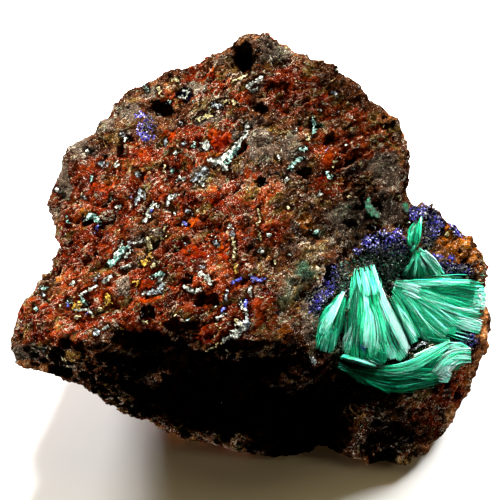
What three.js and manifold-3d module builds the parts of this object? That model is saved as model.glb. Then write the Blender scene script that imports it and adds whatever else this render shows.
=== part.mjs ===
// Malachite specimen: a broken block of iron-oxide gossan that carries fibrous malachite sprays and
// azurite crusts in a hollow on its right-hand lobe. Millimetres, +Z up, origin on the resting face,
// X the long way.

import * as THREE from 'three';
import { ConvexGeometry } from 'three/addons/geometries/ConvexGeometry.js';
import { mergeVertices } from 'three/addons/utils/BufferGeometryUtils.js';
import { ImprovedNoise } from 'three/addons/math/ImprovedNoise.js';
import Module from 'manifold-3d';

const wasm = await Module();
wasm.setup();

// ---------------------------------------------------------------- driving dimensions, mm
const CELL = 2.6; // grid step of the rock's surface
const BLEND = 2.5; // how softly two blocks of rock run into each other
const RELIEF = 1.1; // height of the broken surface's swells
const RELIEF_SIZE = 8; // distance between two swells
const GAP = 0.3; // clearance between a crystal and its pocket in the rock

const v = (x, y, z) => new THREE.Vector3(x, y, z);
const INTO_ROCK = v(0, 0.74, -0.67); // the way the crystals in and round the hollow are rooted
const DOWN = v(0, 0.2, -0.98); // the way the crusts on the rock's top are rooted

// ---------------------------------------------------------------- the rock's blocks, by their corners
const SUMMIT = [
  v(-12, 30, 39), v(-6, 32, 43), v(0, 33.5, 46.6), v(8, 31, 43.5), v(13, 28.5, 41.5), v(19, 24.5, 38.5),
  v(25, 20.5, 36), v(26.5, 14.5, 31), v(24, 6, 29), v(18, 0, 29), v(0, -23.5, 27.5), v(8, -23, 25.5),
  v(13, -21, 21), v(-4, 30, 6), v(16, 26, 4), v(23, 17, 4), v(-2, 24, 0), v(18, 20, 0), v(0, -24.5, 0),
  v(8, -24.5, 0), v(4, -10, 34),
];
const SHOULDER = [
  v(-11, 30.5, 39), v(-17, 31, 37.5), v(-22.5, 28.5, 35.5), v(-31.5, 19, 31), v(-33, 12, 29),
  v(-31, -1, 27), v(-15, -20, 28), v(-7, -24, 27.5), v(2, -23.5, 27.5), v(4, 10, 37.5), v(-20, 26, 8),
  v(-25, 14, 10), v(0, 29, 6), v(-14, 20, 0), v(4, 24, 0), v(-12, -19, 0), v(4, -24, 0), v(-21, -18, 7),
];
const LEDGE = [
  v(-37.6, -19.5, 21), v(-36.6, -18.5, 17.5), v(-37.5, -13.5, 25), v(-34, -8, 26.5), v(-30, -1, 26),
  v(-32, -21, 24.5), v(-23, -22.5, 26.5), v(-15, -20, 28), v(-12, -4, 31), v(-30, -18.5, 15.3),
  v(-23, -19, 12.8), v(-24, 2, 14), v(-12, -19, 4), v(-12, 4, 4),
];
const LOBE = [
  v(28, 12, 25.5), v(31, 12.5, 25), v(34.5, 10.5, 23), v(38, 6.5, 20), v(38.5, 2, 17.5),
  v(39.4, -3, 14.5), v(38, -8, 11), v(36.5, -12, 8), v(33.5, -16.5, 3), v(30, -19, 0), v(25, -25, 0),
  v(20, -25.5, 0), v(13, -20, 20), v(23, -21, 16), v(33, -16, 14), v(35.5, -10, 15), v(18, -2, 27),
  v(14, -10, 24), v(20, 4, 28), v(36, 6, 4), v(28, 12, 0), v(12, -20, 0), v(6, -18, 0), v(10, 10, 0),
  v(12, 8, 8),
];
// what has broken out of the blocks
const FRONT_RECESS = [
  v(-30, -32, 18), v(15, -32, 18), v(-26, -20, 10), v(14, -20, 10), v(-30, -32, 1), v(15, -32, 1),
  v(-14, -23, 1), v(10, -24, 1),
];
const HOLLOW = [
  v(15, -1, 32), v(22, 4, 32), v(28, 2, 30), v(34, -2, 26), v(34, -10, 22), v(24, -17, 25), v(14, -14, 32),
  v(18, -2.5, 22), v(26, -1, 18.5), v(31, -3, 17), v(31, -9, 14.5), v(24, -13, 16), v(17, -12, 20.5),
];

// ---------------------------------------------------------------- crystals, by their outer faces
const FAN_CENTER = [
  v(16.4, -5.4, 25.6), v(18.1, -6, 26.8), v(19.7, -5.2, 25.2), v(21.7, -9.6, 21.8),
  v(24.6, -16.2, 18.6), v(24, -17.6, 17.8), v(19.2, -19.2, 19.2), v(14.1, -19.2, 21.4),
  v(15.1, -15.1, 25.8), v(18, -14.5, 25.2), v(18.8, -18.5, 22),
];
const FAN_LEFT = [
  v(14.1, -12.5, 27.3), v(14.4, -12.7, 26.7), v(13.8, -16.1, 25.4), v(12.9, -19.8, 23.2),
  v(12.4, -20.4, 22.7), v(10.8, -21, 24.2), v(10.5, -20.2, 25.6), v(10.7, -18.4, 26.8),
  v(12.6, -14.7, 27.4), v(12, -19, 26.5),
];
const SLIVER = [
  v(22, -8.3, 22.3), v(23.2, -8.6, 21.8), v(26.5, -12.8, 18), v(25.6, -14.2, 17.6), v(23.9, -12.3, 19.2),
];
const FAN_RIGHT = [
  v(22.6, -6.5, 22.8), v(23.3, -5.4, 22.8), v(27.2, -3.5, 21.5), v(32.4, -1.7, 20), v(35.4, -0.8, 19.4),
  v(37.8, -2.2, 17.8), v(37.3, -5.8, 16.6), v(36.8, -8.2, 15.8), v(33, -9.2, 16.8), v(30.2, -11.7, 17),
  v(27.2, -11.6, 17.6), v(24, -7.8, 21),
];
const BLADE_LEFT = [
  v(12.9, -20.9, 20), v(19.5, -21.2, 18.5), v(24.2, -19.8, 17.4), v(24.4, -20.9, 14.3),
  v(21.4, -21.8, 14.5), v(18.6, -21.5, 15.9), v(15.2, -20.6, 17.5),
];
const BLADE_RIGHT = [
  v(24.2, -19.8, 17.4), v(25.9, -18.2, 17.5), v(31, -13.7, 16.9), v(33.3, -12.8, 16),
  v(35.1, -12.8, 14.2), v(34.9, -13.5, 12.7), v(30.8, -17.8, 13.7), v(27.2, -19.7, 14.1),
  v(24.4, -20.9, 14.3),
];
const SPLINTER = [
  v(14.2, -20.6, 21.5), v(15.3, -20.4, 21.5), v(19.2, -20.4, 19.8), v(19.2, -20.7, 19.5),
  v(14.5, -20.7, 21),
];
const SPRAY = [
  v(25.5, -1.3, 21.4), v(26.3, -0.8, 22.7), v(27.3, 0.2, 23.8), v(28.4, 0.5, 23.5), v(30.1, -0.5, 22.2),
  v(31.4, -0.6, 20.8), v(29.4, -1.5, 20.8), v(26.7, -1.5, 20.8),
];
const LEAF = [
  v(27.6, 5.8, 26.3), v(27.8, 3.1, 25.3), v(27.3, 1.8, 24.6), v(26.4, 1.1, 24.4), v(25.3, 1.4, 25),
  v(25.5, 2.5, 26.2), v(26.4, 4.1, 26.5),
];
const CRESCENT = [
  v(19, 4.4, 32.6), v(18.1, 3.2, 32.6), v(18.1, 2.2, 31.8), v(18.9, 2, 30.7), v(19.9, 2.1, 29.9),
  v(20.8, 2.8, 29.6), v(20.8, 3.3, 30), v(19.8, 3.5, 31.3),
];
const PATCH = [v(24.6, 7.2, 28.5), v(25.6, 8.6, 27.6), v(25.6, 6.7, 27.5), v(24.8, 6, 27.9)];
const AZURITE_TOP = [
  v(26.6, 8.5, 27), v(28.2, 9.6, 25.6), v(29.4, 9, 25.2), v(28.3, 7.2, 26.2), v(26.9, 6.6, 26.6),
  v(26.3, 6.6, 27.1),
];
const AZURITE_RIGHT = [
  v(33.1, 7.9, 23.4), v(34.2, 8, 23.1), v(35.2, 7.7, 21.8), v(34.8, 6.6, 22), v(33.7, 6.4, 22.6),
  v(33.1, 7.3, 23.1),
];
const AZURITE_BACK = [
  v(17.7, -1, 27.6), v(20, 0.7, 28.2), v(24.1, 2.6, 26.8), v(24.5, 1.2, 25.2), v(22.5, 0.2, 25.2),
  v(19.8, -0.8, 25.8), v(17.5, -2, 26.3),
];
const AZURITE_LEFT = [
  v(12.9, -9.5, 29.8), v(14, -8.5, 28.9), v(13.2, -12.2, 28.1), v(12, -14.5, 27.8),
  v(10.4, -16.9, 27.7), v(9, -17.9, 28), v(9, -16.7, 28.6), v(10.7, -14.4, 28.9), v(12.2, -12.3, 29.1),
];
const AZURITE_BAND = [v(32.2, 2, 21.6), v(33.4, 2.6, 21.3), v(35.7, 0.4, 19.8), v(32.2, 0.2, 20.6)];
const AZURITE_POCKET = [v(33.7, -10.5, 16), v(35.8, -10, 15.3), v(35.8, -11.2, 14.4), v(34.3, -11.9, 15.5)];
const AZURITE_PATCH = [
  v(-18.5, 21.7, 35.7), v(-16.8, 21.9, 36.1), v(-15.6, 19.6, 35.7), v(-15.5, 15.8, 35.3),
  v(-17, 15.7, 34.8), v(-18.4, 19, 34.9),
];
const DRUSE = [
  v(17.3, -2.3, 25.5), v(20.2, -0.9, 24.7), v(24.8, 0.4, 24.4), v(24.9, -1.2, 22), v(22.4, -3.2, 21.3),
  v(21.2, -2.3, 22.6),
];
const FLAKE = [v(8.3, -22.9, 23.9), v(9.2, -22.7, 24.2), v(10.1, -22.5, 22.4), v(9.6, -22.8, 21)];

// Planes of a convex block, as [normal, distance from the origin].
function planesOf(corners) {
  const at = new ConvexGeometry(corners).getAttribute('position');
  const planes = [];
  for (let i = 0; i < at.count; i += 3) {
    const [a, b, c] = [0, 1, 2].map((k) => new THREE.Vector3().fromBufferAttribute(at, i + k));
    const normal = b.sub(a).cross(c.sub(a)).normalize();
    if (!planes.some(([n, d]) => n.dot(normal) > 0.9999 && Math.abs(d - normal.dot(a)) < 0.01)) {
      planes.push([normal, normal.dot(a)]);
    }
  }
  return planes;
}

const blocks = [SUMMIT, SHOULDER, LEDGE, LOBE].map(planesOf);
const losses = [FRONT_RECESS, HOLLOW].map(planesOf);
const depthIn = (planes, p) => Math.max(...planes.map(([n, d]) => n.dot(p) - d));

function softMin(a, b) {
  const h = Math.max(BLEND - Math.abs(a - b), 0) / BLEND;
  return Math.min(a, b) - (h * h * BLEND) / 4;
}

const noise = new ImprovedNoise();
function swell(p) {
  const [x, y, z] = [p.x, p.y, p.z].map((c) => c / RELIEF_SIZE + 31.7);
  return noise.noise(x, y, z) + 0.5 * noise.noise(2.1 * x, 2.1 * y, 2.1 * z);
}

// Signed distance to the rock's surface, negative inside.
function rockField(p) {
  let d = blocks.map((b) => depthIn(b, p)).reduce(softMin);
  for (const loss of losses) d = -softMin(-d, depthIn(loss, p));
  d -= RELIEF * swell(p);
  return d;
}

// The two triangles of a quad, cut along the diagonal that folds it least.
function flatterHalves(positions, [a, b, c, d]) {
  const normal = (i, j, k) => {
    const [p, q, r] = [i, j, k].map((n) => v(...positions.slice(3 * n, 3 * n + 3)));
    return q.sub(p).cross(r.sub(p)).normalize();
  };
  const alongAC = normal(a, b, c).dot(normal(a, c, d));
  const alongBD = normal(a, b, d).dot(normal(b, c, d));
  return alongAC >= alongBD ? [a, b, c, a, c, d] : [a, b, d, b, c, d];
}

// Where the corners of a grid square lie alternately in and out, the weakest one changes side: an edge of the
// mesh would otherwise get four faces.
function settleSquares(value, nx, ny) {
  const steps = [1, nx, nx * ny];
  const squares = [[0, 1], [1, 2], [2, 0]];
  let changed = true;
  while (changed) {
    changed = false;
    for (let here = 0; here + steps[1] + steps[2] < value.length; here++)
      for (const [a, b] of squares) {
        const corners = [here, here + steps[a], here + steps[a] + steps[b], here + steps[b]];
        const inside = corners.map((c) => value[c] < 0);
        if (inside[0] !== inside[2] || inside[1] !== inside[3] || inside[0] === inside[1]) continue;
        const weakest = corners.reduce((m, c) => (Math.abs(value[c]) < Math.abs(value[m]) ? c : m));
        value[weakest] *= -0.5;
        changed = true;
      }
  }
}

// Closed mesh of field = 0: one vertex in each cell that the surface crosses, one quad across each crossed edge.
function surfaceOf(field, low, high, step) {
  const size = high.clone().sub(low).divideScalar(step).ceil().addScalar(1);
  const [nx, ny, nz] = [size.x, size.y, size.z];
  const at = (i, j, k) => i + nx * (j + ny * k);
  const value = new Float64Array(nx * ny * nz);
  const point = (i, j, k) => v(low.x + i * step, low.y + j * step, low.z + k * step);
  for (let k = 0; k < nz; k++)
    for (let j = 0; j < ny; j++) for (let i = 0; i < nx; i++) value[at(i, j, k)] = field(point(i, j, k));
  settleSquares(value, nx, ny);
  const corners = [0, 1, 2, 3, 4, 5, 6, 7].map((c) => [c & 1, (c >> 1) & 1, c >> 2]);
  const cellVertex = new Map();
  const positions = [];
  for (let k = 0; k < nz - 1; k++)
    for (let j = 0; j < ny - 1; j++)
      for (let i = 0; i < nx - 1; i++) {
        const values = corners.map(([a, b, c]) => value[at(i + a, j + b, k + c)]);
        if (values.every((x) => x < 0) || values.every((x) => x >= 0)) continue;
        const sum = v(0, 0, 0);
        let crossings = 0;
        for (let a = 0; a < 8; a++)
          for (const axis of [1, 2, 4]) {
            const b = a | axis;
            if (b === a || values[a] < 0 === values[b] < 0) continue;
            const t = values[a] / (values[a] - values[b]);
            const [p, q] = [corners[a], corners[b]].map((c) => point(i + c[0], j + c[1], k + c[2]));
            sum.add(p.lerp(q, t));
            crossings++;
          }
        cellVertex.set(at(i, j, k), positions.length / 3);
        positions.push(...sum.divideScalar(crossings).toArray());
      }
  const index = [];
  const steps = [1, nx, nx * ny];
  for (let k = 1; k < nz - 1; k++)
    for (let j = 1; j < ny - 1; j++)
      for (let i = 1; i < nx - 1; i++)
        for (let axis = 0; axis < 3; axis++) {
          const here = at(i, j, k);
          const inside = value[here] < 0;
          if (inside === value[here + steps[axis]] < 0) continue;
          const [du, dv] = [steps[(axis + 1) % 3], steps[(axis + 2) % 3]];
          const quad = [here, here - du, here - du - dv, here - dv].map((c) => cellVertex.get(c));
          if (!inside) quad.reverse();
          index.push(...flatterHalves(positions, quad));
        }
  const geometry = new THREE.BufferGeometry();
  geometry.setAttribute('position', new THREE.Float32BufferAttribute(positions, 3));
  return geometry.setIndex(index);
}

// ---------------------------------------------------------------- solids
function solidOf(geometry) {
  const bare = new THREE.BufferGeometry();
  bare.setAttribute('position', geometry.getAttribute('position').clone());
  if (geometry.index) bare.setIndex(geometry.index.clone());
  const merged = mergeVertices(bare, 1e-4);
  return new wasm.Manifold(
    new wasm.Mesh({
      numProp: 3,
      vertProperties: merged.getAttribute('position').array,
      triVerts: new Uint32Array(merged.index.array),
    }),
  );
}

function geometryOf(solid) {
  const mesh = solid.getMesh();
  const geometry = new THREE.BufferGeometry();
  geometry.setAttribute('position', new THREE.BufferAttribute(mesh.vertProperties, 3));
  geometry.setIndex(new THREE.BufferAttribute(mesh.triVerts, 1));
  return geometry;
}

// A crystal is made of one block for each of its faces: the hull of the face and of the same face moved along its
// root. Its pocket is the same, standing GAP clear on every side.
function blocksOf({ faces, root, along = INTO_ROCK }, clearance = 0) {
  const signs = clearance ? [-clearance, clearance] : [0];
  const steps = signs.flatMap((x) => signs.flatMap((y) => signs.map((z) => v(x, y, z))));
  const solids = faces.map((face) => {
    const ends = face.flatMap((corner) => [corner, corner.clone().addScaledVector(along, root)]);
    return solidOf(new ConvexGeometry(ends.flatMap((end) => steps.map((step) => end.clone().add(step)))));
  });
  return wasm.Manifold.union(solids);
}

const LOW = v(-43, -32, -6);
const HIGH = v(46, 40, 52);
const rock = solidOf(surfaceOf(rockField, LOW, HIGH, CELL));
const ground = solidOf(new THREE.BoxGeometry(200, 200, 40).translate(0, 0, -20));

const gossan = new THREE.MeshStandardMaterial({ color: 0x6b2f1c, roughness: 0.85, metalness: 0 });
const malachite = new THREE.MeshStandardMaterial({ color: 0x2fae73, roughness: 0.4, metalness: 0 });
const azurite = new THREE.MeshStandardMaterial({ color: 0x2b2ea6, roughness: 0.3, metalness: 0 });
const quartz = new THREE.MeshStandardMaterial({ color: 0x8c9694, roughness: 0.4, metalness: 0 });

const crystals = [
  { name: 'malachite_fan_center', faces: [FAN_CENTER], root: 6, material: malachite },
  { name: 'malachite_fan_left', faces: [FAN_LEFT], root: 3.5, material: malachite },
  { name: 'malachite_fan_right', faces: [FAN_RIGHT], root: 5, material: malachite },
  { name: 'malachite_sliver', faces: [SLIVER], root: 5, material: malachite },
  { name: 'malachite_blade', faces: [BLADE_LEFT, BLADE_RIGHT], root: 3, material: malachite },
  { name: 'malachite_splinter', faces: [SPLINTER], root: 3, material: malachite },
  { name: 'malachite_spray', faces: [SPRAY], root: 3, material: malachite },
  { name: 'malachite_leaf', faces: [LEAF], root: 2.5, material: malachite },
  { name: 'malachite_crescent', faces: [CRESCENT], root: 2, material: malachite },
  { name: 'malachite_patch', faces: [PATCH], root: 2, material: malachite },
  { name: 'azurite_top', faces: [AZURITE_TOP], root: 2.5, material: azurite },
  { name: 'azurite_right', faces: [AZURITE_RIGHT], root: 2.5, material: azurite },
  { name: 'azurite_back', faces: [AZURITE_BACK], root: 2.5, material: azurite },
  { name: 'azurite_left', faces: [AZURITE_LEFT], root: 2.5, material: azurite },
  { name: 'azurite_band', faces: [AZURITE_BAND], root: 2.5, material: azurite },
  { name: 'azurite_pocket', faces: [AZURITE_POCKET], root: 2.5, material: azurite },
  { name: 'azurite_patch', faces: [AZURITE_PATCH], root: 2, along: DOWN, material: azurite },
  { name: 'druse', faces: [DRUSE], root: 2, material: malachite },
  { name: 'grey_flake', faces: [FLAKE], root: 2.5, material: quartz },
];

let matrix = rock.subtract(ground);
const group = new THREE.Group();
function addMesh(name, solid, material) {
  const mesh = new THREE.Mesh(geometryOf(solid), material.clone());
  mesh.name = name;
  group.add(mesh);
}
for (const crystal of crystals) {
  matrix = matrix.subtract(blocksOf(crystal, GAP));
  addMesh(crystal.name, blocksOf(crystal), crystal.material);
}
[matrix] = matrix.simplify(0.02).decompose().sort((a, b) => b.volume() - a.volume());
addMesh('matrix', matrix, gossan);

export default group;
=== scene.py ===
import math
import random

import bpy
import numpy as np
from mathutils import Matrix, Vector, noise
from mathutils.bvhtree import BVHTree


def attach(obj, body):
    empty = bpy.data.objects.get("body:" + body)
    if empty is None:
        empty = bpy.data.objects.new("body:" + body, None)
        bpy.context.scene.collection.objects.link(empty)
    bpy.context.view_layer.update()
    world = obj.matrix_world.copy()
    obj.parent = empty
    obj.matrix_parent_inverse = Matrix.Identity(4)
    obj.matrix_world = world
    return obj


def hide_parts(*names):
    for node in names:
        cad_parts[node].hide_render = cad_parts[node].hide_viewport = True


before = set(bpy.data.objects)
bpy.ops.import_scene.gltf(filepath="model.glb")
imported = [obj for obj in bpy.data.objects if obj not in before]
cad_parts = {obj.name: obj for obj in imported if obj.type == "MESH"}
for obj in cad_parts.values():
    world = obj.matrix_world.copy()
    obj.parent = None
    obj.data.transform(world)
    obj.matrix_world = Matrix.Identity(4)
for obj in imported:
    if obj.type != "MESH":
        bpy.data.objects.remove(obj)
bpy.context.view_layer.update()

MM = 0.001
X_AXIS = Vector((1, 0, 0))
noise.seed_set(1)  # otherwise noise.noise_vector differs from run to run

# ---------------------------------------------------------------- camera, as the specimen is seen
ELEVATION = math.radians(42)
DISTANCE = 300.0  # mm from the eye to the target
TARGET = Vector((0, 0, 25))
PIXEL = 0.16  # mm a pixel spans at the target
CENTRE = 250  # pixel coordinates of the target, both ways
SENSOR = 36  # mm
CLIP_START = 0.01  # m
LOOK = Vector((0, math.cos(ELEVATION), -math.sin(ELEVATION)))
UP = Vector((0, math.sin(ELEVATION), math.cos(ELEVATION)))
EYE = TARGET - LOOK * DISTANCE


def make_camera():
    data = bpy.data.cameras.new("camera")
    data.sensor_width = SENSOR
    data.lens = SENSOR * DISTANCE / (2 * CENTRE * PIXEL)
    data.clip_start = CLIP_START
    camera = bpy.data.objects.new("camera", data)
    camera.location = EYE * MM
    camera.rotation_euler = (math.pi / 2 - ELEVATION, 0, 0)
    bpy.context.scene.collection.objects.link(camera)
    bpy.context.scene.camera = camera


def to_pixels(points):
    """Where points, an array in mm, are seen."""
    away = points - np.array(EYE)
    scale = DISTANCE / (away @ np.array(LOOK)) / PIXEL
    return CENTRE + away[:, 0] * scale, CENTRE - (away @ np.array(UP)) * scale


def sight(u, v):
    """The direction in which a pixel is seen."""
    return (LOOK * DISTANCE + X_AXIS * (u - CENTRE) * PIXEL + UP * (CENTRE - v) * PIXEL).normalized()


# ---------------------------------------------------------------- mesh helpers
def mesh_object(name, verts, faces):
    """A new object; verts are in mm."""
    mesh = bpy.data.meshes.new(name)
    mesh.from_pydata([(x * MM, y * MM, z * MM) for x, y, z in verts], [], faces)
    mesh.update()
    made = bpy.data.objects.new(name, mesh)
    bpy.context.scene.collection.objects.link(made)
    return made


def coordinates(mesh, what="co"):
    """The place, or with what="normal" the normal, of every point of a mesh."""
    flat = np.empty(len(mesh.vertices) * 3)
    mesh.vertices.foreach_get(what, flat)
    return flat.reshape(-1, 3)


def tree_of(*meshes):
    """A ray-casting tree of one or more meshes, in mm."""
    verts, faces = [], []
    for mesh in meshes:
        first = len(verts)
        verts += [v.co / MM for v in mesh.vertices]
        faces += [[first + i for i in face.vertices] for face in mesh.polygons]
    return BVHTree.FromPolygons(verts, faces)


def set_attribute(mesh, name, values):
    layer = mesh.attributes.new(name, "FLOAT", "POINT")
    layer.data.foreach_set("value", np.asarray(values, np.float32))


def shade_smooth(mesh):
    mesh.polygons.foreach_set("use_smooth", [True] * len(mesh.polygons))


def spread(mesh, values, rounds):
    """Values averaged with those of the neighbours, some rounds over."""
    ends = np.empty(len(mesh.edges) * 2, np.int32)
    mesh.edges.foreach_get("vertices", ends)
    a, b = ends[0::2], ends[1::2]
    count = np.bincount(ends, minlength=len(values))
    for _ in range(rounds):
        total = np.bincount(a, values[b], len(values)) + np.bincount(b, values[a], len(values))
        values = (values + total) / (count + 1)
    return values


def smooth_step(low, high, x):
    t = np.clip((x - low) / (high - low), 0, 1)
    return t * t * (3 - 2 * t)


def apply_modifier(target, kind, **settings):
    modifier = target.modifiers.new(kind, kind)
    for key, value in settings.items():
        setattr(modifier, key, value)
    bpy.context.view_layer.objects.active = target
    bpy.ops.object.modifier_apply(modifier=modifier.name)


def remesh(target, voxel, rounds):
    """Makes a piece one even mesh with faces a voxel in mm across, then smooths it some rounds over."""
    apply_modifier(target, "REMESH", mode="VOXEL", voxel_size=voxel * MM)
    apply_modifier(target, "SMOOTH", factor=0.5, iterations=rounds)
    shade_smooth(target.data)


def copy_of(node, name, away=0.0, scale=1.0):
    """A copy of a CAD node, moved away from the eye by so many mm and scaled about its middle."""
    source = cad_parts[node]
    made = source.copy()
    made.data = source.data.copy()
    made.name = name
    made.data.name = name
    made.data.materials.clear()
    bpy.context.scene.collection.objects.link(made)
    points = coordinates(made.data)
    middle = points.mean(0)
    points = middle + (points - middle) * scale + np.array(LOOK) * away * MM
    made.data.vertices.foreach_set("co", points.ravel())
    made.data.update()
    return made


def join(target, others):
    bpy.ops.object.select_all(action="DESELECT")
    for other in others:
        other.select_set(True)
    target.select_set(True)
    bpy.context.view_layer.objects.active = target
    bpy.ops.object.join()


# ---------------------------------------------------------------- what marks the rock, in pixels
# Pits and knobs: u, v, radius, depth in mm (negative: it stands out).
DENTS = [
    (258, 47, 26, -1.3), (430, 214, 17, -1.4), (464, 246, 15, -1.1), (244, 57, 14, 5.0),
    (158, 108, 9, 1.2), (188, 278, 8, 1.1), (146, 311, 9, 0.9), (200, 301, 11, 1.0), (388, 121, 8, 1.2),
    (361, 190, 9, -1.6), (382, 194, 14, -1.8), (367, 205, 4, 0.9), (258, 108, 10, 0.8),
    (262, 180, 8, 0.9), (301, 172, 6, 0.8), (118, 143, 6, 0.7), (66, 345, 9, 0.9), (120, 335, 10, 0.8),
    (152, 128, 12, -0.9), (255, 133, 13, -0.7), (180, 345, 12, 0.8), (105, 128, 8, -0.6),
    (75, 160, 9, -0.5), (51, 268, 14, 1.1), (108, 391, 13, 0.9), (18, 334, 8, 0.6),
    (462, 390, 15, -0.9), (230, 435, 12, 0.5), (166, 77, 10, 0.6),
]
# Patches of colour: u, v, half width, half height, strength.
WARM = [
    (150, 175, 60, 40, 0.8), (110, 190, 60, 40, 1), (90, 250, 45, 60, 1), (60, 320, 60, 30, 1),
    (150, 300, 60, 40, 1), (205, 250, 55, 70, 1), (230, 320, 40, 30, 1), (215, 140, 45, 25, 1),
    (205, 80, 30, 22, 0.7), (170, 95, 14, 12, 0.8), (292, 90, 34, 28, 0.9), (325, 105, 26, 16, 0.8),
    (335, 150, 34, 22, 0.9), (330, 185, 24, 14, 0.7), (250, 190, 34, 22, 0.9), (240, 100, 16, 14, 0.7),
    (270, 225, 26, 30, 0.6), (375, 140, 26, 30, 0.7), (260, 305, 20, 34, 1), (355, 118, 20, 12, 0.7),
    (450, 400, 60, 70, 0.5),
]
RED = [
    (218, 140, 20, 16, 1), (293, 92, 16, 18, 0.8), (321, 101, 10, 7, 0.9), (330, 158, 13, 11, 1),
    (350, 141, 9, 7, 0.9), (360, 115, 9, 7, 0.6), (190, 255, 23, 19, 1), (258, 310, 9, 22, 1),
    (217, 202, 13, 11, 0.9), (224, 250, 7, 22, 1), (140, 156, 24, 8, 0.9), (100, 188, 26, 14, 0.9),
    (75, 262, 16, 24, 0.6), (110, 250, 16, 10, 0.9), (175, 287, 16, 8, 1), (150, 300, 20, 10, 0.9),
    (75, 335, 24, 8, 0.8), (100, 295, 14, 8, 0.9), (203, 337, 15, 9, 1.2), (85, 325, 16, 10, 0.7),
    (206, 75, 10, 8, 0.9), (258, 172, 14, 7, 0.7), (242, 98, 7, 7, 0.8), (240, 225, 14, 14, 0.7),
    (178, 200, 18, 8, 0.8), (40, 305, 22, 10, 0.8), (190, 222, 18, 14, 0.8), (320, 178, 14, 5, 0.8),
    (300, 128, 8, 6, 0.8), (218, 60, 8, 10, 0.7), (222, 112, 10, 6, 0.7), (170, 135, 16, 8, 0.9),
    (165, 200, 18, 6, 0.7), (145, 283, 16, 8, 1), (60, 255, 6, 30, 0.6),
]
GREY = [
    (262, 145, 18, 22, 1), (290, 145, 16, 16, 0.9), (124, 284, 10, 12, 1), (100, 125, 22, 14, 0.9),
    (80, 145, 14, 18, 0.9), (64, 180, 8, 26, 0.9), (208, 121, 18, 7, 0.9), (275, 50, 26, 16, 0.8),
    (320, 85, 16, 10, 0.4), (385, 170, 24, 34, 0.7), (350, 215, 36, 24, 0.7), (390, 212, 24, 18, 0.9),
    (305, 250, 30, 20, 0.5), (312, 320, 14, 36, 1), (130, 112, 14, 14, 0.8), (290, 325, 14, 14, 0.5),
    (350, 240, 30, 12, 0.6), (150, 92, 10, 10, 0.8), (237, 134, 8, 9, 1), (195, 88, 14, 8, 0.8),
    # (25, 356) and (60, 365) are painted light on the underside of the left tip.
    (275, 175, 12, 14, 0.5), (158, 232, 9, 8, 0.8), (25, 356, 20, 14, 1.1), (60, 365, 30, 5, 0.8),
    (250, 122, 8, 8, 0.7), (378, 195, 14, 10, 0.6), (86, 230, 10, 20, 0.3), (230, 78, 14, 8, 0.4),
    (205, 206, 12, 8, 0.3), (200, 174, 15, 9, 0.9), (222, 163, 14, 5, 0.8), (160, 215, 9, 10, 0.5),
    (120, 254, 14, 12, 0.7), (160, 282, 9, 11, 0.6), (242, 325, 9, 13, 0.7), (203, 148, 14, 5, 0.6),
]
TAN = [
    (389, 116, 12, 6, 1), (482, 330, 8, 30, 1), (478, 370, 8, 30, 1), (468, 400, 10, 22, 0.9),
    (452, 425, 12, 16, 0.8), (486, 300, 4, 16, 0.8), (425, 446, 10, 8, 0.6), (250, 40, 30, 6, 0.5),
    # (32, 366) is painted light on the underside of the left tip.
    (145, 100, 20, 5, 0.4), (300, 55, 20, 6, 0.4), (400, 160, 5, 30, 0.4), (32, 366, 30, 7, 1.1),
    (70, 180, 6, 20, 0.3), (460, 215, 4, 6, 0.4),
]
OCHRE = [
    (447, 228, 10, 10, 1), (455, 243, 16, 12, 1.2), (464, 260, 18, 14, 1.2), (474, 262, 8, 14, 1.1),
    (468, 390, 8, 16, 0.7), (308, 219, 13, 11, 1), (285, 331, 10, 8, 1), (300, 105, 12, 10, 0.4),
    (365, 162, 12, 10, 0.4), (85, 212, 8, 6, 0.7), (60, 275, 8, 10, 0.7), (92, 331, 8, 7, 0.8),
    (115, 228, 16, 8, 0.5), (345, 105, 16, 9, 0.5), (170, 82, 12, 5, 0.8), (343, 176, 6, 12, 0.6),
    (463, 262, 18, 14, 1), (446, 236, 10, 12, 1), (475, 255, 10, 12, 0.8), (484, 318, 6, 40, 0.7),
    (474, 380, 8, 40, 0.6), (455, 420, 12, 22, 0.6), (440, 345, 12, 8, 0.3), (215, 155, 8, 5, 0.7),
    (110, 175, 18, 6, 0.6), (270, 140, 10, 5, 0.5), (248, 62, 16, 5, 0.5), (98, 200, 8, 5, 0.5),
    (275, 65, 12, 8, 0.4), (320, 225, 10, 8, 0.5),
]
# Painted shade: pits, holes, creases and the front wall under the ledge, darkened where shade falls.
PAINTED_SHADE_PATCHES = [
    (70, 345, 24, 7, 0.7), (140, 340, 30, 12, 1), (175, 325, 14, 12, 0.8), (262, 108, 14, 7, 0.7),
    (262, 181, 12, 5, 0.8), (378, 207, 8, 3, 1.2), (361, 203, 3, 8, 1.2), (388, 124, 9, 4, 1),
    (162, 108, 16, 8, 1), (305, 172, 10, 6, 1), (272, 124, 16, 6, 0.5), (348, 185, 6, 14, 0.6),
    (148, 312, 12, 7, 1), (245, 345, 40, 7, 0.8), (205, 300, 18, 8, 1), (115, 215, 10, 8, 0.4),
    (90, 222, 10, 6, 1), (120, 150, 5, 8, 1), (128, 141, 8, 4, 0.9), (357, 190, 3, 10, 0.8),
    (290, 200, 14, 10, 0.4), (188, 279, 9, 5, 1), (275, 85, 20, 6, 0.6), (350, 223, 8, 6, 0.7),
    (330, 138, 14, 6, 0.6), (232, 207, 8, 5, 0.6), (105, 142, 14, 6, 0.6), (180, 188, 8, 6, 0.5),
    (165, 342, 24, 6, 0.7), (150, 205, 12, 4, 0.7), (238, 302, 8, 8, 0.5), (185, 325, 22, 8, 0.8),
    (244, 56, 14, 14, 1.1), (185, 185, 14, 7, 0.4), (330, 275, 9, 18, 0.8), (215, 400, 80, 34, 1.2),
    (300, 430, 60, 40, 1.2), (190, 362, 44, 15, 1.2), (250, 368, 50, 14, 1), (150, 365, 20, 10, 0.8),
]
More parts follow.
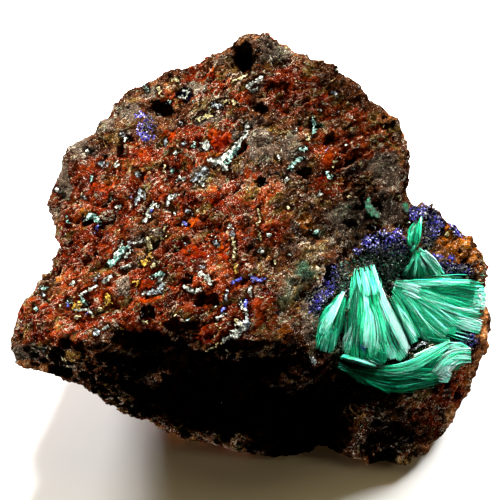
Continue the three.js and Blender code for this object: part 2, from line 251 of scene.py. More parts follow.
# Darker brown rock over the right of the top, with painted shade where light falls off there and on the
# front wall under the ledge.
DARKER_ROCK_AND_SHADE = [
    (340, 200, 75, 75, 0.75), (300, 230, 60, 60, 0.6), (370, 150, 50, 60, 1.1), (330, 90, 60, 50, 1),
    (270, 60, 50, 30, 0.6), (180, 335, 70, 24, 0.9), (250, 320, 40, 40, 0.6), (120, 385, 60, 18, 0.9),
    (230, 400, 90, 50, 1), (330, 420, 60, 40, 1), (135, 335, 40, 12, 0.5), (262, 120, 24, 24, 0.4),
    (415, 425, 34, 30, 1), (72, 190, 22, 50, 0.5),
]
GREEN = [
    (390, 265, 36, 22, 1), (345, 285, 12, 14, 0.9), (385, 300, 8, 20, 1), (422, 344, 26, 12, 1.2),
    (370, 330, 50, 50, 0.9), (440, 305, 40, 40, 0.9), (430, 232, 12, 20, 0.6), (415, 262, 14, 12, 1),
    (400, 372, 60, 22, 0.8), (350, 210, 6, 4, 0.4), (322, 232, 8, 6, 0.4), (334, 130, 6, 10, 0.3),
    (318, 126, 5, 8, 0.5),
]
HAZE = [
    (303, 274, 13, 13, 0.9), (294, 288, 12, 12, 0.7), (285, 302, 9, 12, 0.4), (322, 232, 12, 7, 0.4),
    (345, 212, 12, 9, 0.4),
]
NAVY = [
    (322, 300, 14, 20, 0.9), (330, 275, 10, 16, 0.8), (385, 245, 28, 12, 1), (436, 225, 12, 18, 0.8),
    (458, 270, 18, 9, 1), (462, 340, 16, 12, 1), (420, 210, 14, 12, 0.9), (183, 93, 7, 7, 0.9),
    (278, 312, 8, 8, 0.5), (243, 304, 6, 6, 0.7), (458, 232, 9, 9, 0.9), (298, 298, 8, 6, 0.4),
    (390, 212, 8, 5, 0.3), (455, 250, 6, 6, 0.3),
]
PATCHES = {
    "warm": WARM, "red": RED, "grey": GREY, "tan": TAN, "ochre": OCHRE, "dark": PAINTED_SHADE_PATCHES, "darker_rock_and_shade": DARKER_ROCK_AND_SHADE,
    "green": GREEN, "haze": HAZE, "navy": NAVY,
}
PATCH_EDGE = (0.35, 1.3)  # where a patch starts to fade and where it ends, in half sizes from its middle
# Crusts of each kind: half width in pixels, then the points they pass.
CRUSTS = {
    "white": [
        (2.2, (247, 124), (247, 133), (243, 139), (237, 144), (233, 150)),
        (2.0, (233, 150), (226, 155), (220, 160), (214, 165)),
        (1.8, (221, 162), (225, 168), (227, 171)), (2.0, (208, 160), (216, 161)),
        (1.8, (205, 176), (200, 182), (203, 187)), (1.8, (184, 180), (181, 177), (177, 180)),
        (1.8, (178, 194), (172, 196), (168, 200), (168, 207)),
        (2.0, (159, 206), (153, 205), (149, 211), (147, 218), (144, 222)),
        (1.4, (144, 193), (144, 199)), (1.4, (124, 241), (119, 248), (114, 256)),
        (1.4, (131, 250), (125, 257)), (1.3, (133, 243), (140, 242), (148, 239)),
        (2.2, (103, 283), (108, 279), (112, 276)), (1.3, (98, 285), (92, 288), (86, 292), (79, 296)),
        (1.6, (70, 284), (75, 282)), (1.6, (121, 269), (126, 267), (131, 265)),
        (1.8, (164, 277), (160, 281), (157, 279)), (1.6, (143, 294), (145, 291)),
        (2.0, (197, 272), (202, 273), (207, 278), (212, 285)),
        (2.0, (187, 288), (191, 292), (196, 291), (200, 289)), (1.4, (183, 286), (187, 288)),
        (2.4, (228, 226), (232, 228)), (1.2, (73, 309), (80, 310), (88, 309), (92, 315)),
        (1.6, (102, 329), (108, 326)), (1.4, (250, 277), (253, 274)),
        (1.5, (251, 286), (249, 291), (251, 297)), (1.6, (240, 302), (243, 308), (247, 313)),
        (2.4, (236, 323), (243, 326), (240, 331), (231, 333)),
        (1.8, (240, 336), (231, 337), (223, 341)), (1.4, (224, 314), (216, 319)),
        (1.3, (176, 214), (174, 213)), (2.0, (268, 234), (271, 236)), (1.8, (257, 251), (263, 251)),
        (1.8, (246, 88), (250, 84), (255, 82), (262, 77)), (1.2, (247, 86), (252, 92), (257, 88)),
        (1.4, (288, 176), (286, 183)), (1.2, (293, 131), (297, 129)), (1.3, (278, 155), (280, 159)),
        (1.8, (319, 195), (322, 193)), (2.0, (202, 143), (207, 142), (208, 148), (203, 148)),
        (1.8, (177, 152), (173, 154)), (1.6, (112, 165), (118, 166), (117, 162)),
        (2.0, (56, 189), (60, 192)), (2.0, (117, 208), (121, 205)), (1.3, (126, 138), (124, 142)),
        (1.6, (87, 150), (89, 152)), (1.6, (124, 153), (126, 152)),
        (1.2, (178, 90), (188, 91), (186, 98), (179, 97)), (1.3, (288, 253), (290, 255)),
        (1.4, (336, 70), (341, 72)), (1.2, (344, 144), (348, 146)), (1.3, (319, 109), (321, 111)),
        (1.4, (407, 222), (409, 223)), (1.2, (397, 225), (399, 226)), (0.9, (480, 290), (482, 305)),
        (1.2, (372, 226), (376, 229)), (1.6, (423, 214), (427, 214)),
    ],
    "mint": [
        (2.2, (240, 146), (234, 152), (229, 158), (226, 163)),
        (2.4, (127, 246), (121, 252), (115, 260), (109, 265)),
        (2.0, (86, 219), (91, 215), (96, 219), (99, 223)), (1.6, (108, 281), (111, 279)),
        (2.2, (154, 277), (159, 273), (164, 274)), (1.8, (69, 301), (72, 303)),
        (1.8, (82, 298), (86, 304)), (2.2, (145, 85), (147, 89)), (1.8, (41, 289), (47, 288)),
        (1.6, (35, 306), (36, 311)), (1.6, (312, 120), (315, 126), (314, 134)),
        (2.0, (299, 150), (306, 148)), (2.0, (289, 168), (296, 162), (302, 158)),
        (1.8, (326, 172), (332, 178)), (1.8, (312, 233), (317, 231)), (1.6, (191, 148), (196, 143)),
        (1.4, (171, 175), (174, 168)), (1.4, (92, 175), (91, 181)), (1.2, (66, 215), (68, 224)),
        (1.4, (111, 198), (114, 200)), (1.6, (170, 101), (168, 104)), (1.8, (478, 244), (483, 248)),
    ],
    "cream": [
        (1.6, (233, 238), (234, 246), (235, 254), (233, 260)), (2.0, (156, 260), (152, 267)),
        (1.8, (148, 238), (150, 245), (151, 250)), (2.2, (102, 308), (99, 311)),
        (1.6, (94, 315), (92, 317)), (1.6, (60, 309), (63, 307)), (2.0, (142, 323), (147, 322)),
        (1.8, (74, 317), (80, 317)), (1.6, (235, 320), (240, 324)), (1.4, (166, 226), (163, 230)),
        (1.4, (166, 236), (162, 239)), (1.2, (258, 208), (260, 218), (257, 226)),
        (1.4, (259, 232), (261, 240)), (1.8, (222, 102), (230, 100), (236, 103)),
        (1.3, (232, 82), (240, 78), (248, 74)), (2.0, (196, 120), (206, 116), (214, 117)),
        (1.4, (310, 137), (306, 140)), (1.4, (337, 158), (333, 167)), (1.4, (165, 165), (163, 172)),
        (1.4, (158, 87), (161, 94), (163, 98)), (2.0, (170, 80), (178, 79)),
        (0.8, (48, 346), (58, 354), (68, 363)), (0.9, (205, 352), (216, 346), (224, 342)),
        (1.2, (286, 206), (290, 209)), (1.2, (274, 260), (276, 264)), (1.4, (347, 195), (350, 198)),
        (1.6, (445, 233), (450, 235)), (1.6, (398, 196), (402, 199)), (1.2, (437, 207), (441, 209)),
    ],
    "yellow": [
        (1.6, (234, 264), (236, 270), (237, 274)), (2.6, (142, 262), (147, 262)),
        (2.0, (149, 253), (151, 258)), (2.6, (107, 295), (108, 301), (105, 304)),
        (2.4, (76, 306), (80, 304), (74, 308)), (2.0, (134, 281), (138, 282)),
        (2.0, (121, 329), (123, 331)), (2.4, (92, 128), (97, 125)),
    ],
    "grey": [
        (2.4, (206, 168), (200, 174), (193, 181)), (2.4, (141, 192), (139, 198), (136, 203)),
        (2.2, (130, 241), (128, 246)), (1.6, (98, 276), (94, 281)),
        (2.2, (161, 284), (160, 290), (153, 292), (147, 293)), (1.8, (199, 267), (204, 266)),
        (1.8, (232, 231), (234, 236)), (2.4, (96, 330), (96, 336)), (1.6, (42, 293), (45, 297)),
        (1.5, (228, 289), (226, 293), (226, 301)), (2.0, (247, 316), (247, 324), (246, 330)),
        (2.0, (186, 210), (190, 213)), (1.8, (214, 240), (216, 246)), (2.0, (184, 243), (186, 243)),
        (2.2, (212, 104), (220, 107)), (2.2, (99, 163), (107, 166)), (1.8, (82, 196), (86, 198)),
        (2.0, (122, 136), (125, 134)), (1.8, (136, 173), (140, 176)), (1.6, (165, 139), (166, 147)),
        (1.4, (185, 141), (183, 146)), (1.6, (180, 122), (182, 125)), (1.4, (42, 348), (45, 350)),
        (0.9, (115, 362), (126, 366), (136, 370)), (1.8, (330, 92), (337, 95)),
        (1.6, (412, 349), (420, 345), (428, 341)),
    ],
    "blue": [
        (1.6, (152, 208), (150, 212)), (1.4, (98, 226), (95, 231)), (1.4, (66, 305), (69, 306)),
        (1.6, (232, 284), (236, 280), (242, 279)),
        (1.6, (251, 275), (254, 281), (259, 280), (265, 279)),
        (1.8, (247, 300), (244, 304), (247, 308)), (1.5, (225, 308), (220, 311)),
        (1.4, (183, 221), (187, 225)), (2.0, (359, 345), (365, 349)),
    ],
}
CRUST_SHADE_EDGE = (1.4, 3.5)  # the painted shade round a crust fades out between these many pixels from its edge
LAYERING = Vector((0.8, 0.6, 0.0))  # the way the rock's layers run across its top


def patch_mask(u, v, table):
    """Strength of a family of patches at each point."""
    total = np.zeros(len(u))
    for centre_u, centre_v, half_u, half_v, strength in table:
        away = np.hypot((u - centre_u) / half_u, (v - centre_v) / half_v)
        total = np.maximum(total, strength * (1 - smooth_step(*PATCH_EDGE, away)))
    return total


def painted_shade_round_crusts(u, v):
    """1 beside a crust, where shade is painted round it, and 0 away from it."""
    nearest = np.full(len(u), np.inf)
    for half, *points in sum(CRUSTS.values(), []):
        for (u0, v0), (u1, v1) in zip(points, points[1:]):
            length = math.dist((u0, v0), (u1, v1)) ** 2
            t = np.clip(((u - u0) * (u1 - u0) + (v - v0) * (v1 - v0)) / length, 0, 1)
            away = np.hypot(u - u0 - t * (u1 - u0), v - v0 - t * (v1 - v0))
            nearest = np.minimum(nearest, away - half)
    return 1 - smooth_step(*CRUST_SHADE_EDGE, nearest)


# ---------------------------------------------------------------- the rock
FIBROUS = [
    "malachite_fan_center", "malachite_fan_left", "malachite_fan_right", "malachite_sliver",
    "malachite_blade", "malachite_splinter", "malachite_spray", "malachite_leaf",
]
GRAINY = [
    "azurite_top", "azurite_right", "azurite_back", "azurite_left", "azurite_band", "azurite_pocket",
    "azurite_patch", "druse",
]
LUMPY = ["malachite_crescent", "malachite_patch", "grey_flake"]
# Beds of rock under the crystals: set-back in mm and scale.
FIBROUS_BED = (1.7, 1.1)
CRUST_BED = (0.4, 1.08)
ROCK_VOXEL = 0.34  # mm
ROCK_ROUNDS = 8  # of smoothing
ROCK_TRIANGLES = 198000
# The rock's relief: sizes across and heights in mm.
LAYER_STRETCH = 0.6  # how far the relief is drawn out along the layers
ROUGH_SIZE = 8.0  # of the rougher and smoother areas
ROUGH_LEAST, ROUGH_GAIN, ROUGH_LEVEL = 0.35, 1.3, 0.3  # how rough they are
SWELL_SIZE, SWELL_HEIGHT = 6.0, 0.8
RIDGE_SIZE, RIDGE_HEIGHT, RIDGE_LEVEL = 3.0, 0.8, 1.1
LUMP_SIZE, LUMP_HEIGHT, LUMP_LEVEL = 1.4, 0.35, 0.45
BEND_SIZE, BEND = 1.2, 0.7  # how the lumps and the cracks between them are bent
CRACK_WIDTH, CRACK_DEPTH = 0.12, 0.3
GRAIN_SIZE, GRAIN_HEIGHT = 0.7, 0.16
DENT_EDGE = (0.3, 1.1)  # where a dent starts to fade and where it ends, in radii
WANDER_COARSE, WANDER_FINE = 1.5, 0.5  # mm, sizes of the noise that frays every outline
FRAY, CRUST_SHADE_FRAY, DENT_FRAY = 5, 2, 0.7  # how far it moves patches and the painted shade round crusts, in pixels, and dents, in radii
FOOT = (0.2, 2.0)  # mm above the resting face over which the relief grows
FILLED_RELIEF = 0.4  # share of the hollows that is left under the malachite and azurite stains
GREY_CALM = 0.35  # how much smoother the grey patches are
RELIEF_ROUNDS = 10  # rounds of averaging that part the small relief from the large
# Strength of the patches, and size in mm, out of the eye's sight.
ELSEWHERE = {"warm": 0.9, "red": 0.8, "grey": 0.8, "ochre": 0.6}
ELSEWHERE_SIZE = 9


def rock_relief(p):
    """Height in mm of the rock's own relief at a point in mm."""
    q = p - LAYERING * p.dot(LAYERING) * LAYER_STRETCH
    area = noise.noise(p / ROUGH_SIZE + Vector((3, 3, 3)))
    rough = ROUGH_LEAST + ROUGH_GAIN * max(0, area + ROUGH_LEVEL)
    height = SWELL_HEIGHT * noise.fractal(q / SWELL_SIZE, 0.9, 2.1, 5)
    ridge = noise.ridged_multi_fractal(q / RIDGE_SIZE, 0.8, 2.2, 5, 1.0, 2.0)
    height += RIDGE_HEIGHT * rough * (ridge - RIDGE_LEVEL)
    cell = noise.voronoi(q / LUMP_SIZE + noise.noise_vector(p / BEND_SIZE) * BEND)[0]
    height += LUMP_HEIGHT * rough * (LUMP_LEVEL - cell[0])
    height -= CRACK_DEPTH * max(0, 1 - (cell[1] - cell[0]) / CRACK_WIDTH)
    height += GRAIN_HEIGHT * noise.fractal(p / GRAIN_SIZE, 0.5, 2.0, 3)
    return height


def wander_at(p):
    """A small random vector that frays outlines."""
    return noise.noise_vector(p / WANDER_COARSE) + noise.noise_vector(p / WANDER_FINE) * 0.5


def rock_blank():
    """The matrix with a bed of rock under each crystal, as one even mesh."""
    rock = copy_of("matrix", "rock")
    beds = [copy_of(node, node + "_bed", *FIBROUS_BED) for node in FIBROUS]
    beds += [copy_of(node, node + "_bed", *CRUST_BED) for node in GRAINY + LUMPY]
    join(rock, beds)
    remesh(rock, ROCK_VOXEL, ROCK_ROUNDS)
    return rock


def push_dents(relief, points, tree, fray):
    """Lowers the relief in the pits and raises it on the knobs."""
    for u, v, radius, depth in DENTS:
        hit = tree.ray_cast(EYE, sight(u, v))[0]
        away = np.linalg.norm(points - np.array(hit), axis=1) / (radius * PIXEL)
        relief -= depth * (1 - smooth_step(*DENT_EDGE, away + fray))


def rock_masks(points, u, v, facing):
    """Strength of each family of patches at each point: placed where it is seen, by noise elsewhere."""
    masks = {name: patch_mask(u, v, table) * facing for name, table in PATCHES.items()}
    for i, (name, share) in enumerate(ELSEWHERE.items()):
        shift = Vector((7 * i, 0, 0))
        swell = np.array([noise.noise(Vector(p) / ELSEWHERE_SIZE + shift) for p in points])
        masks[name] = np.maximum(masks[name], (1 - facing) * share * smooth_step(-0.1, 0.35, swell))
    return masks


def build_rock():
    rock = rock_blank()
    mesh = rock.data
    points = coordinates(mesh) / MM
    normals = coordinates(mesh, "normal")
    relief = np.array([rock_relief(Vector(p)) for p in points])
    wander = np.array([wander_at(Vector(p)) for p in points])
    push_dents(relief, points, tree_of(mesh), DENT_FRAY * wander[:, 2])
    toward = (np.array(EYE) - points) / np.linalg.norm(np.array(EYE) - points, axis=1)[:, None]
    facing = smooth_step(-0.1, 0.1, (normals * toward).sum(1))
    u, v = to_pixels(points)
    masks = rock_masks(points, u + FRAY * wander[:, 0], v + FRAY * wander[:, 1], facing)
    masks["crust_shade"] = painted_shade_round_crusts(u + CRUST_SHADE_FRAY * wander[:, 0], v + CRUST_SHADE_FRAY * wander[:, 1]) * facing
    stained = smooth_step(0.3, 0.7, np.maximum(masks["green"], 0.8 * masks["navy"]))
    relief = relief * (1 - stained) + FILLED_RELIEF * np.minimum(relief, 0) * stained
    relief *= 1 - GREY_CALM * masks["grey"]
    moved = points + normals * (relief * smooth_step(*FOOT, points[:, 2]))[:, None]
    moved[:, 2] = np.maximum(moved[:, 2], 0)
    mesh.vertices.foreach_set("co", (moved * MM).ravel())
    mesh.update()
    # Small relief: its hollows are darkened as painted shade in the rock's material.
    set_attribute(mesh, "relief", relief - spread(mesh, relief, RELIEF_ROUNDS))
    for name, mask in masks.items():
        set_attribute(mesh, name, mask)
    apply_modifier(rock, "DECIMATE", ratio=ROCK_TRIANGLES / (2 * len(mesh.polygons)))
    return rock


# ---------------------------------------------------------------- fibres and grains
FIBRE_SINK = 0.35  # mm a fibre reaches below its path
FIBRE_LEAN = 0.35  # how far a fibre's ridge stands to one side at most, in widths
FIBRE_TIP = 0.45  # width of a fibre's ends, as a share of its width
RIDGE_HIGHLIGHT, FLANK_SHADE = 0.08, -0.25  # a painted highlight brightens a fibre's ridge and painted shade darkens its sides
HEXAGON = [(1, 0), (0.5, 1), (-0.5, 1), (-1, 0), (-0.5, -1), (0.5, -1)]
CRYSTAL_RINGS = ((-0.4, 0.9), (0.6, 1.0))  # height and width of a crystal's foot and shoulder
TIP_SHIFT = (-0.3, 0.3)  # how far its tip stands to one side, in widths
FOOT_SHADE, TIP_HIGHLIGHT = -0.15, 0.1  # painted shade darkens its foot and a painted highlight brightens its tip
GOLDEN = (1 + math.sqrt(5)) / 2
ICOSAHEDRON = [
    (-1, GOLDEN, 0), (1, GOLDEN, 0), (-1, -GOLDEN, 0), (1, -GOLDEN, 0),
    (0, -1, GOLDEN), (0, 1, GOLDEN), (0, -1, -GOLDEN), (0, 1, -GOLDEN),
    (GOLDEN, 0, -1), (GOLDEN, 0, 1), (-GOLDEN, 0, -1), (-GOLDEN, 0, 1),
]
ICOSAHEDRON_FACES = [
    (0, 11, 5), (0, 5, 1), (0, 1, 7), (0, 7, 10), (0, 10, 11), (1, 5, 9), (5, 11, 4),
    (11, 10, 2), (10, 7, 6), (7, 1, 8), (3, 9, 4), (3, 4, 2), (3, 2, 6), (3, 6, 8),
    (3, 8, 9), (4, 9, 5), (2, 4, 11), (6, 2, 10), (8, 6, 7), (9, 8, 1),
]
CRUMB_CORNERS = (0.7, 1.25)  # how far a crumb's corners stand from its middle, in half sizes
CRUMB_SQUASH = 0.76  # how much flatter it is across the surface it lies on
CRUMB_MOTTLE = (-0.1, 0.1)  # how the tones of its corners differ


class Pile:
    """Many small closed shapes that become one object, each point with a tone from 0, dark, to 1, bright."""

    def __init__(self, seed):
        self.random = random.Random(seed)
        self.verts, self.faces, self.tones = [], [], []

    def between(self, low, high):
        return self.random.uniform(low, high)

    def gauss(self, sigma):
        return self.random.gauss(0, sigma)

    def shake(self, sigma):
        """A random vector."""
        return Vector([self.gauss(sigma) for _ in range(3)])

    def add(self, verts, faces, tones):
        first = len(self.verts)
        self.verts += verts
        self.faces += [[first + i for i in face] for face in faces]
        self.tones += tones

    def fibre(self, path, width, height, tones):
        """A ridge-backed needle along a path, a list of points in mm."""
        verts, shades = [], []
        lean = self.between(-FIBRE_LEAN, FIBRE_LEAN)
        last = len(path) - 1
        for i, point in enumerate(path):
            out = (EYE - point).normalized()
            run = path[min(i + 1, last)] - path[max(i - 1, 0)]
            side = run.cross(out).normalized()
            taper = FIBRE_TIP if i in (0, last) else 1
            half = side * width * taper / 2
            foot = out * FIBRE_SINK
            ridge = point + half * 2 * lean + out * height * taper
            verts += [point - half - foot, ridge, point + half - foot]
            shades += [tones[i] + FLANK_SHADE, tones[i] + RIDGE_HIGHLIGHT, tones[i] + FLANK_SHADE]
        faces = [(2, 1, 0), (3 * last, 3 * last + 1, 3 * last + 2)]
        for i in range(last):
            a = 3 * i
            for j, k in ((0, 1), (1, 2), (2, 0)):
                faces.append((a + j, a + k, a + 3 + k, a + 3 + j))
        self.add(verts, faces, shades)

    def crystal(self, point, axis, length, width, thick, tone):
        """A small tablet with a pointed end that stands on a point along an axis."""
        side = axis.orthogonal().normalized()
        turn = self.between(0, math.tau)
        side = side * math.cos(turn) + axis.cross(side) * math.sin(turn)
        other = axis.cross(side)
        verts = []
        for rise, grow in CRYSTAL_RINGS:
            for a, b in HEXAGON:
                corner = point + axis * length * rise + side * a * grow * width / 2
                verts.append(corner + other * b * grow * thick / 2)
        verts.append(point + axis * length + side * width * self.between(*TIP_SHIFT))
        faces = [(5, 4, 3, 2, 1, 0)]
        for i in range(6):
            j = (i + 1) % 6
            faces.append((i, j, 6 + j, 6 + i))
            faces.append((6 + i, 6 + j, 12))
        self.add(verts, faces, [tone + FOOT_SHADE] * 6 + [tone] * 6 + [tone + TIP_HIGHLIGHT])

    def crumb(self, point, size, tone, normal):
        """A small lump of random shape, flattened along the normal of what it lies on."""
        verts = []
        for corner in ICOSAHEDRON:
            away = Vector(corner).normalized() * size / 2 * self.between(*CRUMB_CORNERS)
            away -= normal * away.dot(normal) * CRUMB_SQUASH
            verts.append(point + away)
        self.add(verts, ICOSAHEDRON_FACES, [tone + self.between(*CRUMB_MOTTLE) for _ in ICOSAHEDRON])

    def make(self, name):
        made = mesh_object(name, self.verts, self.faces)
        set_attribute(made.data, "tone", np.clip(self.tones, 0, 1))
        return made


FRONT_RAYS = 30  # rays cast at a node's front, each way
FRONT_UNIT = 20  # pixels, the unit of its surface's coordinates


class Front:
    """The side of a CAD node that faces the eye, as one smooth surface over the pixels."""

    def __init__(self, node):
        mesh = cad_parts[node].data
        tree = tree_of(mesh)
        us, vs = to_pixels(coordinates(mesh) / MM)
        rows, depths = [], []
        self.middle = (us.mean(), vs.mean())
        for u in np.linspace(us.min(), us.max(), FRONT_RAYS):
            for v in np.linspace(vs.min(), vs.max(), FRONT_RAYS):
                depth = tree.ray_cast(EYE, sight(u, v))[3]
                if depth is not None:
                    rows.append(self.terms(u, v))
                    depths.append(depth)
        self.factors = np.linalg.lstsq(np.array(rows), np.array(depths), rcond=None)[0]

    def terms(self, u, v):
        a, b = (u - self.middle[0]) / FRONT_UNIT, (v - self.middle[1]) / FRONT_UNIT
        return [1, a, b, a * a, a * b, b * b]

    def at(self, u, v, lift):
        """The point lifted so many mm off the surface where a pixel is seen."""
        depth = float(np.dot(self.factors, self.terms(u, v)))
        return EYE + sight(u, v) * (depth - lift)


STATIONS = 5  # points along a fibre
FIBRE_WIDTH = 0.65  # pixels
FIBRE_WIDTHS = (0.7, 1.5)  # shares of that
FIBRE_HEIGHTS = (0.05, 0.2)  # mm
FIBRE_LIFTS = (-0.04, 0.06)  # mm that a point of a fibre lies off its band's lift
FIBRE_LAYERS = 2.8  # fibres that lie over one another
REACH = 0.5  # share of a band's length that its shortest fibre takes
EARLIEST, LATEST = -0.06, 1.1  # where fibres start and end, in the band's length
PLACE_SPREAD = 0.09  # across a band, in its width
TONE_SPREAD, TONE_RIPPLE = 0.2, 0.08  # from one fibre to the next and along each
ODD_FIBRES, ODD_TONES = 0.16, (0.1, 0.95)  # share of the fibres that have any of these tones
SLOPE_STEP = 0.02  # of a band's length, over which its direction is measured


def sheaf(pile, front, tone, lift, widths, points):
    """Lays fibres over a band whose middle passes the points and whose width in pixels is given at each."""
    lengths = [math.dist(a, b) for a, b in zip(points, points[1:])]
    total = sum(lengths)
    marks = np.concatenate(([0], np.cumsum(lengths))) / total
    us, vs = np.array(points, float).T
    mean_width = sum(widths) / len(widths)
    count = max(2, round(FIBRE_LAYERS * mean_width / FIBRE_WIDTH / (0.5 + 0.5 * REACH)))
    for i in range(count):
        across = (i + pile.between(0.1, 0.9)) / count - 0.5 + pile.gauss(PLACE_SPREAD)
        start = pile.between(EARLIEST, 1 - REACH)
        end = start + pile.between(REACH, LATEST - start)
        own = tone + pile.gauss(TONE_SPREAD)
        if pile.random.random() < ODD_FIBRES:
            own = pile.between(*ODD_TONES)
        path, tones = [], []
        for k in range(STATIONS):
            t = start + (end - start) * k / (STATIONS - 1)
            u, v = np.interp(t, marks, us), np.interp(t, marks, vs)
            near = min(max(t, SLOPE_STEP), 1 - SLOPE_STEP)
            before, after = near - SLOPE_STEP, near + SLOPE_STEP
            du = np.interp(after, marks, us) - np.interp(before, marks, us)
            dv = np.interp(after, marks, vs) - np.interp(before, marks, vs)
            length = math.hypot(du, dv)
            offset = across * np.interp(t, marks, widths)
            u, v = u - dv / length * offset, v + du / length * offset
            path.append(front.at(u, v, lift + pile.between(*FIBRE_LIFTS)))
            tones.append(own + pile.gauss(TONE_RIPPLE))
        width = FIBRE_WIDTH * PIXEL * pile.between(*FIBRE_WIDTHS)
        pile.fibre(path, width, pile.between(*FIBRE_HEIGHTS), tones)
